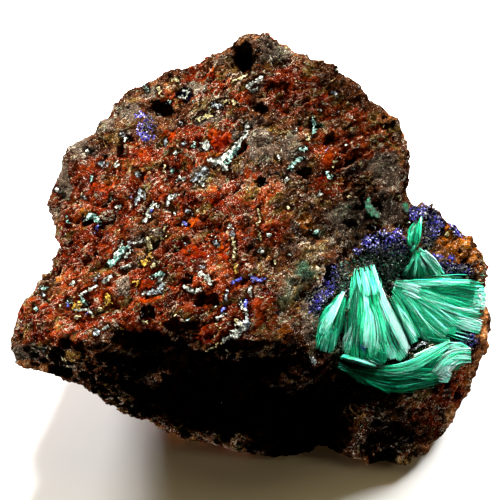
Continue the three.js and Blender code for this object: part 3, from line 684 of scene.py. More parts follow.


# Bands of fibres on each crystal: tone, lift in mm, widths in pixels, then the points the band passes. The
# palest tones are painted sheen off the silky fibres.
SHEAVES = {
    "malachite_fan_center": [
        (0.42, 0.0, (12, 34, 58, 66), (365, 270), (367, 300), (371, 335), (374, 360)),
        (0.1, 0.2, (4, 8, 7), (375, 312), (378, 328), (381, 342)),
        (0.1, 0.2, (3, 6, 5), (358, 316), (357, 330), (355, 346)),
        (0.16, 0.3, (3, 8, 10, 9), (347, 300), (344, 314), (342, 328), (340, 344)),
        (0.04, 0.22, (5, 12, 17, 13), (356, 274), (353, 296), (350, 316), (348, 336)),
        (0.55, 0.15, (5, 4, 3, 3), (355, 268), (353, 285), (349, 300), (345, 316)),
        (0.42, 0.1, (8, 10, 12), (360, 312), (358, 328), (359, 342)),
        (0.78, 0.5, (16, 19, 17), (366, 266), (369, 280), (372, 295)),
        (0.97, 0.25, (3, 3, 4, 5), (361, 268), (365, 288), (366, 305), (366, 318)),
        (0.05, 0.6, (1, 1.4, 1.2), (366, 268), (370, 288), (373, 304)),
        (0.05, 0.6, (1, 1.2, 1.2), (361, 268), (362, 292), (362, 312)),
        (0.1, 0.6, (1, 1.2, 1), (371, 268), (376, 284), (381, 300)),
        (0.25, 0.3, (2, 5, 4), (366, 270), (372, 284), (377, 298)),
        (0.5, 0.15, (5, 8, 8), (371, 290), (374, 302), (376, 312)),
        (1.0, 0.35, (6, 8, 8, 9, 7), (372, 270), (381, 294), (389, 314), (399, 334), (409, 354)),
        (0.62, 0.2, (6, 9, 9), (375, 302), (381, 320), (385, 342)),
        (0.96, 0.3, (4, 11, 14, 14), (369, 308), (370, 322), (370, 336), (369, 348)),
        (0.12, 0.2, (3, 6, 7, 4), (384, 316), (389, 332), (394, 346), (401, 358)),
        (0.93, 0.3, (4, 9, 11, 9), (353, 326), (348, 338), (344, 348), (341, 357)),
        (0.45, 0.2, (6, 10, 8), (379, 340), (382, 352), (382, 361)),
        (0.86, 0.3, (6, 9, 6), (387, 344), (391, 352), (393, 359)),
        (0.72, 0.25, (8, 10, 6), (374, 340), (374, 350), (373, 358)),
        (0.2, 0.25, (14, 12), (370, 352), (386, 361)), (0.65, 0.2, (8, 10), (398, 350), (403, 360)),
    ],
    "malachite_fan_left": [
        (0.3, 0.0, (6, 20, 26, 22), (344, 292), (334, 314), (329, 332), (326, 348)),
        (0.1, 0.25, (4, 9, 13, 12), (348, 290), (343, 310), (339, 328), (335, 346)),
        (0.55, 0.2, (4, 8, 8), (337, 302), (326, 312), (318, 322)),
        (1.0, 0.35, (3, 5, 8, 9, 5), (345, 289), (339, 300), (333, 312), (327, 323), (321, 334)),
        (0.45, 0.3, (10, 18, 20), (334, 326), (329, 338), (326, 352)),
        (0.7, 0.4, (3, 5, 6), (330, 330), (325, 341), (322, 351)),
        (0.6, 0.4, (2, 4, 4), (336, 328), (333, 340), (332, 351)),
    ],
    "malachite_sliver": [
        (0.35, 0.0, (8, 16, 18), (389, 297), (399, 318), (412, 344)),
        (0.08, 0.1, (4, 4, 4), (386, 296), (394, 316), (408, 342)),
        (0.68, 0.15, (4, 6, 7), (392, 302), (401, 322), (411, 344)),
        (0.97, 0.3, (3, 4, 3), (397, 306), (406, 325), (415, 342)),
        (1.0, 0.35, (3, 5, 5), (400, 308), (410, 322), (419, 337)),
        (0.05, 0.36, (0.8, 0.8), (403, 312), (417, 336)),
    ],
    "malachite_fan_right": [
        (0.64, 0.0, (8, 30, 46, 52), (394, 286), (418, 294), (448, 303), (480, 308)),
        (0.57, 0.0, (8, 20, 30, 34), (394, 288), (410, 303), (426, 318), (442, 334)),
        (0.46, 0.05, (6, 12, 14), (398, 293), (412, 312), (425, 335)),
        (0.82, 0.2, (3, 6, 6, 5), (404, 281), (424, 283), (448, 282), (470, 282)),
        (0.98, 0.25, (2, 3, 2), (428, 282), (440, 282), (450, 281)),
        (0.22, 0.14, (4, 12, 20, 22), (428, 288), (444, 292), (459, 294), (474, 297)),
        (0.2, 0.2, (3, 7, 8), (402, 296), (412, 312), (420, 328)),
        (0.85, 0.25, (1.5, 2, 2), (406, 297), (420, 315), (434, 334)),
        (0.8, 0.25, (1.5, 2, 2), (410, 296), (428, 313), (446, 330)),
        (0.98, 0.3, (4, 7, 8), (395, 283), (407, 286), (420, 290)),
        (0.95, 0.3, (3, 4, 3), (402, 291), (411, 295), (420, 299)),
        (0.6, 0.15, (5, 7, 8), (418, 291), (440, 298), (462, 306)),
        (0.9, 0.25, (2, 3, 4), (424, 299), (452, 308), (482, 314)),
        (0.93, 0.25, (1.5, 2, 2), (430, 303), (460, 315), (480, 322)),
        (0.7, 0.2, (4, 6, 6), (416, 298), (436, 310), (456, 326)),
        (0.58, 0.15, (6, 10, 10), (414, 306), (430, 322), (446, 336)),
        (0.64, 0.15, (5, 8, 10), (402, 292), (412, 306), (422, 322)),
        (0.96, 0.4, (9, 13, 12), (456, 320), (468, 324), (481, 328)),
        (0.05, 0.42, (1.2, 1.4), (462, 314), (480, 317)),
        (0.93, 0.35, (16, 18), (476, 299), (486, 300)), (0.55, 0.15, (6, 8), (448, 330), (456, 332)),
        (0.26, 0.0, (5, 9, 6), (414, 330), (432, 339), (450, 340)),
    ],
    "malachite_blade": [
        (0.26, 0.0, (4, 14, 22, 22, 18), (338, 366), (365, 376), (392, 382), (420, 378), (442, 374)),
        (0.55, 0.2, (3, 5, 3), (331, 363), (340, 366), (352, 372)),
        (0.72, 0.28, (4, 8, 10, 9, 6), (378, 368), (396, 369), (414, 365), (432, 354), (448, 344)),
        (0.78, 0.3, (1.5, 2, 2), (412, 357), (430, 349), (450, 341)),
        (0.4, 0.15, (5, 7, 6), (376, 374), (396, 374), (414, 372)),
        (0.16, 0.3, (6, 9, 6), (422, 366), (436, 360), (446, 354)),
        (0.1, 0.3, (3, 5, 4), (392, 378), (412, 376), (430, 372)),
        (0.32, 0.2, (10, 12, 10), (414, 374), (426, 376), (438, 374)),
        (1.0, 0.4, (12, 15, 15, 14), (436, 374), (446, 361), (458, 355), (471, 355)),
        (1.0, 0.35, (5, 8, 6), (448, 349), (458, 347), (469, 350)),
        (0.25, 0.5, (1, 1.2, 1), (448, 358), (458, 353), (471, 354)),
        (0.25, 0.5, (1, 1.2, 1), (450, 366), (459, 360), (471, 360)),
        (0.6, 0.45, (2, 2.5, 2), (440, 368), (450, 360), (462, 357)),
        (0.98, 0.3, (12, 8), (440, 374), (450, 378)),
        (0.7, 0.3, (3, 3, 2), (448, 343), (460, 344), (468, 348)),
        (0.22, 0.1, (1.5, 1.5, 1.5), (353, 373), (370, 384), (389, 394)),
        (0.45, 0.2, (3, 3), (408, 362), (422, 366)),
    ],
    "malachite_splinter": [
        (0.8, 0.1, (4, 7, 4), (341, 357), (356, 361), (376, 367)),
        (1.0, 0.3, (2, 4, 2), (343, 358), (358, 361), (376, 366)),
        (0.75, 0.3, (2, 3), (352, 353), (372, 362)), (0.6, 0.2, (4, 3), (340, 358), (352, 353)),
    ],
    "malachite_spray": [
        (0.5, 0.1, (6, 16, 26, 32), (417, 250), (419, 260), (421, 269), (422, 278)),
        (0.8, 0.3, (2, 5, 7, 6), (419, 248), (426, 257), (434, 266), (443, 275)),
        (1.0, 0.5, (1.5, 2, 2), (424, 250), (434, 259), (442, 269)),
        (1.0, 0.5, (1.5, 2, 2), (421, 253), (429, 264), (437, 276)),
        (0.9, 0.5, (2, 3, 3), (418, 257), (424, 267), (428, 277)),
        (0.88, 0.4, (2, 4, 5), (416, 256), (416, 266), (413, 277)),
        (0.8, 0.4, (2, 4, 6), (413, 259), (408, 268), (400, 277)),
        (0.05, 0.55, (1, 1.5, 1), (420, 256), (427, 267), (432, 277)),
        (0.05, 0.55, (1, 1.5, 1), (415, 260), (411, 269), (407, 277)),
    ],
    "malachite_leaf": [
        (0.24, 0.0, (5, 12, 13, 6), (413, 251), (412, 242), (413, 233), (417, 222)),
        (0.34, 0.25, (2, 4, 3, 1), (413, 250), (416, 240), (418, 229), (420.5, 218)),
        (0.12, 0.3, (1, 2, 1.5), (413, 248), (413.5, 238), (415, 227)),
        (0.46, 0.35, (1, 2, 1.5), (411, 248), (408.5, 239), (411, 229)),
        (0.5, 0.3, (1, 2.5, 1), (412, 246), (411, 237), (414, 226)),
        (0.6, 0.4, (1, 1.8, 1.5, 1), (417, 247), (420, 238), (420.5, 228), (421.5, 217)),
        (1.0, 0.5, (1.5, 1), (420.5, 226), (421.5, 215)), (0.7, 0.35, (3, 2), (411, 252), (415, 245)),
    ],
}
# The core inside the fibres: set-back in mm and scale.
CORE = (0.9, 0.95)
SMALL_CORES = {"malachite_spray": (1.1, 0.7), "malachite_leaf": (0.9, 0.6)}
CORE_TONE = 0.1


def build_fibrous(node, seed):
    """Fibres laid on the front of a CAD node, over a core that is the node itself, set back and shrunk."""
    pile = Pile(seed)
    front = Front(node)
    for tone, lift, widths, *points in SHEAVES[node]:
        sheaf(pile, front, tone, lift, widths, points)
    made = pile.make(node + "_fibres")
    core = copy_of(node, node + "_core", *SMALL_CORES.get(node, CORE))
    set_attribute(core.data, "tone", np.full(len(core.data.vertices), CORE_TONE))
    join(made, [core])
    made.name = node + "_crystals"
    return made


# Crusts of small crystals: tone, then the middle and half sizes of each blob in pixels.
BLOBS = {
    "azurite_top": [
        (0.6, 412, 216, 4, 4), (0.65, 417, 210, 7, 6), (0.6, 426, 206, 5, 4), (0.5, 414, 217, 4, 5),
        (0.4, 421, 212, 6, 5), (1.0, 424, 214, 2, 1.5), (0.25, 430, 220, 8, 10), (0.45, 436, 224, 7, 9),
        (0.15, 428, 235, 8, 10), (0.55, 434, 232, 4, 6),
    ],
    "azurite_right": [
        (0.8, 453, 226, 3, 4), (0.8, 458, 232, 4, 4), (0.75, 463, 237, 3, 3), (0.6, 450, 222, 3, 3),
    ],
    "azurite_back": [
        (0.9, 370, 242, 9, 6), (0.85, 383, 233, 5, 4), (0.7, 389, 240, 7, 6), (0.75, 398, 233, 5, 4),
        (0.9, 357, 251, 6, 3), (0.2, 392, 249, 14, 6), (0.15, 376, 250, 10, 5), (0.4, 400, 243, 6, 6),
    ],
    "azurite_left": [
        (0.3, 336, 270, 5, 7), (0.6, 331, 286, 5, 7), (0.55, 323, 297, 6, 6), (0.55, 316, 306, 5, 6),
        (0.9, 329, 293, 5, 4), (0.2, 334, 279, 5, 6), (0.85, 318, 299, 3, 3), (0.2, 312, 312, 5, 4),
    ],
    "azurite_band": [
        (0.6, 451, 260, 5, 5), (0.25, 460, 270, 10, 6), (0.2, 448, 270, 7, 6), (0.85, 436, 257, 6, 4),
        (0.3, 442, 262, 6, 5), (0.7, 454, 256, 2, 2),
    ],
    "azurite_pocket": [
        (0.25, 464, 341, 9, 7), (0.85, 470, 333, 6, 3), (1.0, 457, 331, 3, 2), (0.2, 456, 336, 5, 4),
        (0.5, 472, 340, 3, 6),
    ],
    "azurite_patch": [
        (0.85, 140, 115, 5, 4), (0.8, 140, 128, 4, 6), (0.75, 145, 136, 6, 5), (0.5, 149, 119, 5, 5),
        (0.6, 151, 138, 4, 3), (0.3, 150, 128, 5, 6),
    ],
    # The druse's dark tones are partly its own dark green and partly painted shade of the hollow it lies in.
    "druse": [
        (0.15, 385, 262, 24, 14), (0.2, 360, 262, 10, 8), (0.25, 408, 260, 10, 10),
        (0.2, 392, 280, 12, 10), (0.2, 345, 285, 8, 12), (0.15, 382, 295, 5, 12),
        (0.25, 345, 268, 8, 8),
    ],
}
CRYSTAL_SIZE = 0.24  # mm
CRYSTAL_LENGTHS, CRYSTAL_WIDTHS, CRYSTAL_THICKNESSES = (0.6, 1.5), (0.6, 1.4), (0.4, 0.9)  # in that size
CRYSTAL_LEAN = 0.6  # how far crystals lean away from the normal of what they stand on
CRYSTALS = 1.3  # in a blob, for each square pixel of its half sizes multiplied
BLOB_EDGE = (0.7, 1.3)  # how far a blob's edge frays, in its half sizes
BLOB_SHADE, BLOB_SPREAD = 0.1, 0.26  # how much darker than its tone a blob is, and how its crystals differ
PAINTED_GLINTS, PAINTED_GLINT_SIZE = 0.025, 0.5  # share of the crystals given the brightest tone as painted glints, and the size of these


def build_grainy(node, tree, seed):
    """Small crystals that stand on the surface of a tree wherever the eye sees the node's blobs."""
    pile = Pile(seed)
    for tone, middle_u, middle_v, half_u, half_v in BLOBS[node]:
        for _ in range(round(half_u * half_v * CRYSTALS)):
            away = math.sqrt(pile.random.random()) * pile.between(*BLOB_EDGE)
            turn = pile.between(0, math.tau)
            u = middle_u + half_u * away * math.cos(turn)
            v = middle_v + half_v * away * math.sin(turn)
            point, normal = tree.ray_cast(EYE, sight(u, v))[:2]
            if point is None:
                continue
            axis = (normal + pile.shake(CRYSTAL_LEAN)).normalized()
            own = tone - BLOB_SHADE + pile.gauss(BLOB_SPREAD)
            scale = CRYSTAL_SIZE
            if pile.random.random() < PAINTED_GLINTS:
                own = 1
                scale *= PAINTED_GLINT_SIZE
            length = scale * pile.between(*CRYSTAL_LENGTHS)
            width = scale * pile.between(*CRYSTAL_WIDTHS)
            pile.crystal(point, axis, length, width, scale * pile.between(*CRYSTAL_THICKNESSES), own)
    return pile.make(node + "_crystals")


LUMP_VOXEL = 0.09  # mm
LUMP_ROUNDS = 4  # of smoothing
LUMP_CRUMBS = 130  # along each path
LUMP_SPREAD = (-0.7, 0.7)  # how far crumbs lie from the path, in its half widths
LUMP_SIZES = (0.5, 0.9)  # of a crumb, in the same
LUMP_LIFT = 0.1  # mm
LUMP_MOTTLE, LUMP_MOTTLE_SIZE = 0.5, 0.7  # how far and over how many mm the tone of a lump changes
# Lumps with a waxy skin: their tone, then half widths in pixels at the points they pass and the points.
LUMPS = {
    "malachite_crescent": (0.24, [
        (
            (1.6, 3.8, 4.6, 5.0, 5.0, 4.2, 2.2),
            (371, 197), (368, 201), (367, 206), (369, 210), (372, 213), (376, 215), (380, 216),
        ),
    ]),
    "malachite_patch": (0.16, [
        ((3.0, 5.4, 4.4), (403, 204), (407, 208), (411, 213)), ((2.0, 4.5), (411, 203), (406, 210)),
    ]),
    "grey_flake": (0.75, [
        ((1.5, 3.5, 1.5), (309, 356), (313, 360), (315, 367)), ((1.5, 2.5), (312, 357), (317, 361)),
    ]),
}


def build_lump(node, tree, seed):
    """Crumbs along a path on the CAD node, melted together."""
    pile = Pile(seed)
    tone, bands = LUMPS[node]
    for halves, *points in bands:
        marks = np.linspace(0, 1, len(points))
        us, vs = np.array(points, float).T
        for _ in range(LUMP_CRUMBS):
            t = pile.random.random()
            half = np.interp(t, marks, halves)
            u = np.interp(t, marks, us) + pile.between(*LUMP_SPREAD) * half
            v = np.interp(t, marks, vs) + pile.between(*LUMP_SPREAD) * half
            point, normal = tree.ray_cast(EYE, sight(u, v))[:2]
            if point is not None:
                size = half * PIXEL * pile.between(*LUMP_SIZES)
                pile.crumb(point + normal * LUMP_LIFT, size, tone, normal)
    made = pile.make(node + "_lump")
    remesh(made, LUMP_VOXEL, LUMP_ROUNDS)
    shift = Vector((seed, 0, 0))
    points = [Vector(p) for p in coordinates(made.data) / MM]
    mottle = [noise.fractal(p / LUMP_MOTTLE_SIZE + shift, 0.8, 2.0, 3) for p in points]
    tones = [tone + LUMP_MOTTLE * m for m in mottle]
    set_attribute(made.data, "tone", np.clip(tones, 0, 1))
    return made


CRUMBS = 3.2  # along a crust, for each pixel of its length and of its half width
FEWEST_CRUMBS = 6
CRUMB_SPREAD = 0.7  # how far they lie from the crust's middle, in its half widths
CRUMB_SIZES = (0.2, 0.5)  # mm
CRUMB_TONE = 0.5
# Trails of crumbs scattered over the rock, of each kind of crust.
TRAILS = {"white": 120, "mint": 60, "cream": 240, "yellow": 30, "grey": 140, "blue": 14}
TRAIL_CRUMBS = (2, 9)
TRAIL_SIZES = (0.18, 0.42)  # mm
TRAIL_STEPS = (0.05, 0.3)  # mm from one crumb to the next
TRAIL_LIFT = 0.03  # mm
TRAIL_TURN = 0.5  # how far trails turn away from the rock's layers
OVERHANG = -0.3  # faces whose normal points further down have no trails
TRAILS_ANYWHERE = 0.08  # share of the trails that may start outside the warm patches


def lay_crumbs(pile, tree, half, start, end):
    """Crumbs on the surface that the eye sees along a line between two pixels."""
    (u0, v0), (u1, v1) = start, end
    for _ in range(max(FEWEST_CRUMBS, round(math.dist(start, end) * half * CRUMBS))):
        t = pile.random.random()
        u = u0 + (u1 - u0) * t + pile.gauss(CRUMB_SPREAD) * half
        v = v0 + (v1 - v0) * t + pile.gauss(CRUMB_SPREAD) * half
        point, normal = tree.ray_cast(EYE, sight(u, v))[:2]
        if point is not None:
            pile.crumb(point, pile.between(*CRUMB_SIZES), CRUMB_TONE, normal)


def scatter_crumbs(pile, rock, tree, count):
    """Short trails of crumbs all over the rock, most of them where its warm patches are."""
    mesh = rock.data
    warm = mesh.attributes["warm"].data
    areas = np.empty(len(mesh.polygons))
    mesh.polygons.foreach_get("area", areas)
    bounds = np.cumsum(areas)
    trails = 0
    while trails < count:
        face = mesh.polygons[int(np.searchsorted(bounds, pile.between(0, bounds[-1])))]
        chance = TRAILS_ANYWHERE + warm[face.vertices[0]].value
        if face.normal.z < OVERHANG or pile.random.random() > chance:
            continue
        trails += 1
        point = face.center / MM
        step = (LAYERING + pile.shake(TRAIL_TURN)).normalized()
        for _ in range(pile.random.randint(*TRAIL_CRUMBS)):
            point, normal = tree.find_nearest(point + step * pile.between(*TRAIL_STEPS))[:2]
            pile.crumb(point + normal * TRAIL_LIFT, pile.between(*TRAIL_SIZES), CRUMB_TONE, normal)


def build_crust(kind, seed, rock, rock_tree, tree):
    """Small lumps along the paths of one kind of crust and over the rock, melted together."""
    pile = Pile(seed)
    for half, *points in CRUSTS[kind]:
        for start, end in zip(points, points[1:]):
            lay_crumbs(pile, tree, half, start, end)
    scatter_crumbs(pile, rock, rock_tree, TRAILS[kind])
    made = pile.make("crust_" + kind)
    remesh(made, LUMP_VOXEL, LUMP_ROUNDS)
    return made


# ---------------------------------------------------------------- looks
class Nodes:
    """A short way to write a material's node tree."""

    def __init__(self, name):
        self.material = bpy.data.materials.new(name)
        self.material.use_nodes = True
        self.tree = self.material.node_tree
        self.shader = self.tree.nodes["Principled BSDF"]
        self.place = self.new("TexCoord").outputs["Object"]

    def new(self, kind, inputs=None, **settings):
        """A new node with its settings, and with a value or another node's output on each input."""
        node = self.tree.nodes.new("ShaderNode" + kind)
        for key, value in settings.items():
            setattr(node, key, value)
        for key, value in (inputs or {}).items():
            self.wire(value, node.inputs[key])
        return node

    def wire(self, value, socket):
        if isinstance(value, bpy.types.NodeSocket):
            self.tree.links.new(value, socket)
        else:
            socket.default_value = value

    def set_shader(self, **values):
        """Sets inputs of the shader, named with _ for a space."""
        for key, value in values.items():
            self.wire(value, self.shader.inputs[key.replace("_", " ")])

    def attribute(self, name):
        return self.new("Attribute", attribute_name=name).outputs["Fac"]

    def squeezed(self, direction, share):
        """Coordinates shortened along a direction, so that a texture is drawn out along it."""
        dot = self.new("VectorMath", {0: self.place, 1: direction}, operation="DOT_PRODUCT")
        scale = self.times(dot.outputs["Value"], share)
        scaled = self.new("VectorMath", {0: direction, "Scale": scale}, operation="SCALE")
        less = self.new("VectorMath", {0: self.place, 1: scaled.outputs["Vector"]}, operation="SUBTRACT")
        return less.outputs["Vector"]

    def noise(self, size_mm, detail, roughness, distortion=0.0, seed=0.0, place=None):
        inputs = {
            "Vector": place or self.place, "W": seed, "Scale": 1 / (size_mm * MM),
            "Detail": detail, "Roughness": roughness, "Distortion": distortion,
        }
        return self.new("TexNoise", inputs, noise_dimensions="4D").outputs["Fac"]

    def cells(self, size_mm):
        """Distance to the nearest of many random points."""
        inputs = {"Vector": self.place, "Scale": 1 / (size_mm * MM)}
        return self.new("TexVoronoi", inputs).outputs["Distance"]

    def lines(self, size_mm, width, share, seed, place):
        """Thin winding lines, drawn over a share of the surface."""
        winding = self.noise(size_mm, 3, 0.6, 0.8, seed, place)
        away = self.math("ABSOLUTE", self.math("SUBTRACT", winding, 0.5))
        area = self.noise(size_mm * 2, 2, 0.5, 0, seed + 9)
        where = self.step(area, 0.62 - 0.3 * share, 0.68 - 0.3 * share)
        return self.times(self.step(away, 0, width, 1, 0), where)

    def math(self, operation, a, b=0.0):
        return self.new("Math", {0: a, 1: b}, operation=operation).outputs[0]

    def times(self, a, b):
        return self.math("MULTIPLY", a, b)

    def without(self, value, share):
        """1 less a share of a value."""
        return self.math("SUBTRACT", 1.0, self.times(value, share))

    def blend(self, *shares):
        """The sum of values, each given with its share."""
        value, share = shares[0]
        total = self.times(value, share)
        for value, share in shares[1:]:
            total = self.math("ADD", total, self.times(value, share))
        return total

    def step(self, value, low, high, to_low=0.0, to_high=1.0):
        """A smooth step of a value from one level at low to another at high."""
        inputs = {"Value": value, "From Min": low, "From Max": high, "To Min": to_low, "To Max": to_high}
        return self.new("MapRange", inputs, interpolation_type="SMOOTHSTEP").outputs["Result"]

    def mix(self, factor, a, b, blend="MIX"):
        node = self.new("Mix", data_type="RGBA", blend_type=blend)
        for value, key in ((factor, "Factor_Float"), (a, "A_Color"), (b, "B_Color")):
            self.wire(value, next(s for s in node.inputs if s.identifier == key))
        return next(s for s in node.outputs if s.identifier == "Result_Color")

    def ramp(self, value, stops):
        """The colour between stops, each a place from 0 to 1 and a colour in screen values."""
        node = self.new("ValToRGB", {"Fac": value})
        elements = node.color_ramp.elements
        while len(elements) < len(stops):
            elements.new(0.5)
        for element, (place, colour) in zip(elements, stops):
            element.position = place
            element.color = screen(*colour)
        return node.outputs["Color"]

    def bump(self, height, distance_mm):
        node = self.new("Bump", {"Distance": distance_mm * MM, "Height": height})
        self.set_shader(Normal=node.outputs["Normal"])


def screen(*colour):
    """A colour given in 0 to 255 screen values."""
    shares = [c / 255 for c in colour]
    return tuple(c / 12.92 if c <= 10 / 255 else ((c + 0.055) / 1.055) ** 2.4 for c in shares) + (1,)


# Colours of the rock's earths from their darkest grains to their palest.
EARTHS = {
    "brown": ((0.36, (8, 3, 2)), (0.44, (56, 32, 22)), (0.5, (96, 62, 45)), (0.58, (136, 96, 74)),
              (0.68, (182, 152, 130))),
    "plum": ((0.36, (10, 5, 6)), (0.45, (62, 43, 44)), (0.52, (98, 77, 78)), (0.6, (136, 118, 120)),
             (0.68, (186, 178, 182))),
    "olive": ((0.36, (10, 7, 3)), (0.44, (62, 46, 22)), (0.5, (108, 88, 52)), (0.58, (152, 134, 90)),
              (0.68, (210, 200, 160))),
    "warm": ((0.36, (14, 2, 1)), (0.43, (69, 19, 8)), (0.5, (124, 53, 22)), (0.58, (166, 90, 49)),
             (0.68, (206, 150, 106))),
    "crimson": ((0.36, (16, 2, 1)), (0.44, (76, 15, 2)), (0.52, (130, 38, 5)), (0.62, (172, 78, 16))),
    "orange": ((0.36, (28, 6, 1)), (0.44, (110, 38, 3)), (0.52, (166, 74, 9)), (0.62, (206, 122, 32))),
    "grey": ((0.36, (30, 25, 27)), (0.44, (78, 71, 75)), (0.54, (118, 110, 116)), (0.64, (160, 154, 162))),
    "ochre": ((0.37, (26, 9, 2)), (0.44, (88, 48, 8)), (0.52, (146, 92, 26)), (0.64, (214, 166, 84))),
    "tan": ((0.37, (44, 22, 14)), (0.44, (128, 82, 58)), (0.54, (182, 136, 104)), (0.64, (226, 196, 166))),
    "green": ((0.38, (1, 4, 3)), (0.5, (4, 24, 13)), (0.6, (14, 70, 42)), (0.7, (110, 190, 150))),
    "navy": ((0.38, (3, 3, 10)), (0.5, (14, 12, 44)), (0.6, (46, 40, 120)), (0.7, (150, 150, 205))),
    "pale": ((0.4, (196, 184, 160)), (0.5, (150, 144, 118)), (0.58, (100, 128, 98)), (0.66, (178, 144, 84))),
}
# Where each family of patches starts to cover and covers in full, and the seed of the noise that frays it.
COVERS = {
    "warm": (0.84, 1.04, 5), "red": (1.15, 1.3, 8), "grey": (0.95, 1.12, 9), "ochre": (0.93, 1.1, 10),
    "tan": (0.93, 1.1, 11), "green": (0.78, 1.0, 12), "navy": (0.85, 1.08, 13), "dark": (0.88, 1.12, 20),
}
HAZE_COLOUR = (66, 132, 134)
# Colour of the painted glints on the rock.
PAINTED_GLINT_COLOUR = (216, 204, 186)
ROCK_SQUEEZE = 0.55  # how far the rock's texture is drawn out along its layers
ROCK_DEPTH = 1.27  # power that deepens the rock's colours
ROCK_CAST = (0.88, 0.67, 0.37, 1)  # colour that the rock's colours are multiplied by
ROCK_ROUGHNESS = 0.7
ROCK_BUMP = 0.55  # mm
DARKER_ROCK_AND_SHADE_LEVEL = 0.5  # how bright the darker rock and its painted shade are
CRUST_SHADE_LEVEL = 0.3  # and the painted shade round the crusts
RED_PLAIN = 0.75  # how much fewer pale flecks the red patches have


def rock_material():
    n = Nodes("gossan")
    layered = n.squeezed(LAYERING, ROCK_SQUEEZE)
    # textures from the widest to the finest, and their sum
    wide = n.noise(5.0, 4, 0.6, 0.4, 3)
    mid = n.noise(1.7, 4, 0.62, 0.5, 2, layered)
    fine = n.noise(0.6, 4, 0.75, 0, 1)
    grit = n.noise(0.17, 2, 0.8, 0, 21)
    grain = n.blend((fine, 0.24), (mid, 0.22), (wide, 0.3), (grit, 0.24))
    textures = {"green": fine, "navy": fine, "pale": n.noise(2.0, 2, 0.5, 0, 14)}
    earth = {name: n.ramp(textures.get(name, grain), stops) for name, stops in EARTHS.items()}

    def cover(name):
        """How far a family of patches covers each point: its mask, broken up by noise."""
        low, high, seed = COVERS[name]
        frayed = n.noise(1.5, 5, 0.75, 0.3, seed, layered)
        return n.step(n.blend((n.attribute(name), 0.75), (frayed, 0.9), (wide, 0.35)), low, high)

    tint = n.mix(n.step(n.noise(2.6, 4, 0.7, 0, 4, layered), 0.5, 0.58), earth["brown"], earth["plum"])
    tint = n.mix(cover("warm"), tint, earth["warm"])
    tint = n.mix(n.step(n.noise(2.2, 4, 0.72, 0, 6, layered), 0.53, 0.59), tint, earth["olive"])
    red = n.mix(n.step(n.noise(3.5, 3, 0.6, 0, 7), 0.44, 0.54), earth["crimson"], earth["orange"])
    reddened = cover("red")
    tint = n.mix(reddened, tint, red)
    for name in ("grey", "ochre", "tan", "green", "navy"):
        tint = n.mix(cover(name), tint, earth[name])
    hazy = n.times(n.attribute("haze"), n.step(mid, 0.36, 0.6, 0.2, 0.85))
    tint = n.mix(hazy, tint, screen(*HAZE_COLOUR))
    # painted shade in pits, holes, creases and on the front wall, darker rock, painted shade round the
    # crusts, and the rock's own darker grain, grit and cracks
    shades = [
        n.without(cover("dark"), 0.94),
        n.step(n.attribute("darker_rock_and_shade"), 0, 1, 1, DARKER_ROCK_AND_SHADE_LEVEL),
        n.step(n.attribute("crust_shade"), 0.2, 0.9, 1, CRUST_SHADE_LEVEL),
        n.step(n.noise(0.9, 3, 0.7, 0, 17, layered), 0.38, 0.5, 0.38, 1),
        n.step(grit, 0.32, 0.44, 0.25, 1),
        n.without(n.lines(2.4, 0.03, 0.7, 18, layered), 0.75),
    ]
    # Painted shade darkens the hollows of the small relief.
    shade = n.step(n.attribute("relief"), -0.42, 0.03, 0.08, 1.0)
    for other in shades:
        shade = n.times(shade, other)
    deep = n.new("Gamma", {"Color": n.mix(1.0, tint, shade, "MULTIPLY"), "Gamma": ROCK_DEPTH})
    tint = n.mix(1.0, deep.outputs["Color"], ROCK_CAST, "MULTIPLY")
    # pale outlines and flecks, and painted glints of light, where the rock is neither dark nor red
    bare = n.times(n.without(reddened, RED_PLAIN), n.step(shade, 0.2, 0.75))
    lined = n.times(n.lines(1.6, 0.018, 0.5, 15, layered), 0.85)
    fleck = n.blend((n.noise(0.4, 3, 0.8, 0, 16), 1), (n.cells(0.5), -0.9), (wide, 0.4))
    flecked = n.step(fleck, 0.58, 0.64, 0, 0.85)
    tint = n.mix(n.times(n.math("MAXIMUM", lined, flecked), bare), tint, earth["pale"])
    painted_glint = n.times(n.step(grit, 0.63, 0.68, 0, 1), bare)
    tint = n.mix(painted_glint, tint, screen(*PAINTED_GLINT_COLOUR))
    n.set_shader(Base_Color=tint, Roughness=ROCK_ROUGHNESS, Specular_IOR_Level=0.0)
    n.bump(n.blend((n.noise(0.45, 5, 0.8, 0, 19, layered), 1), (n.cells(0.3), 0.3)), ROCK_BUMP)
    return n.material


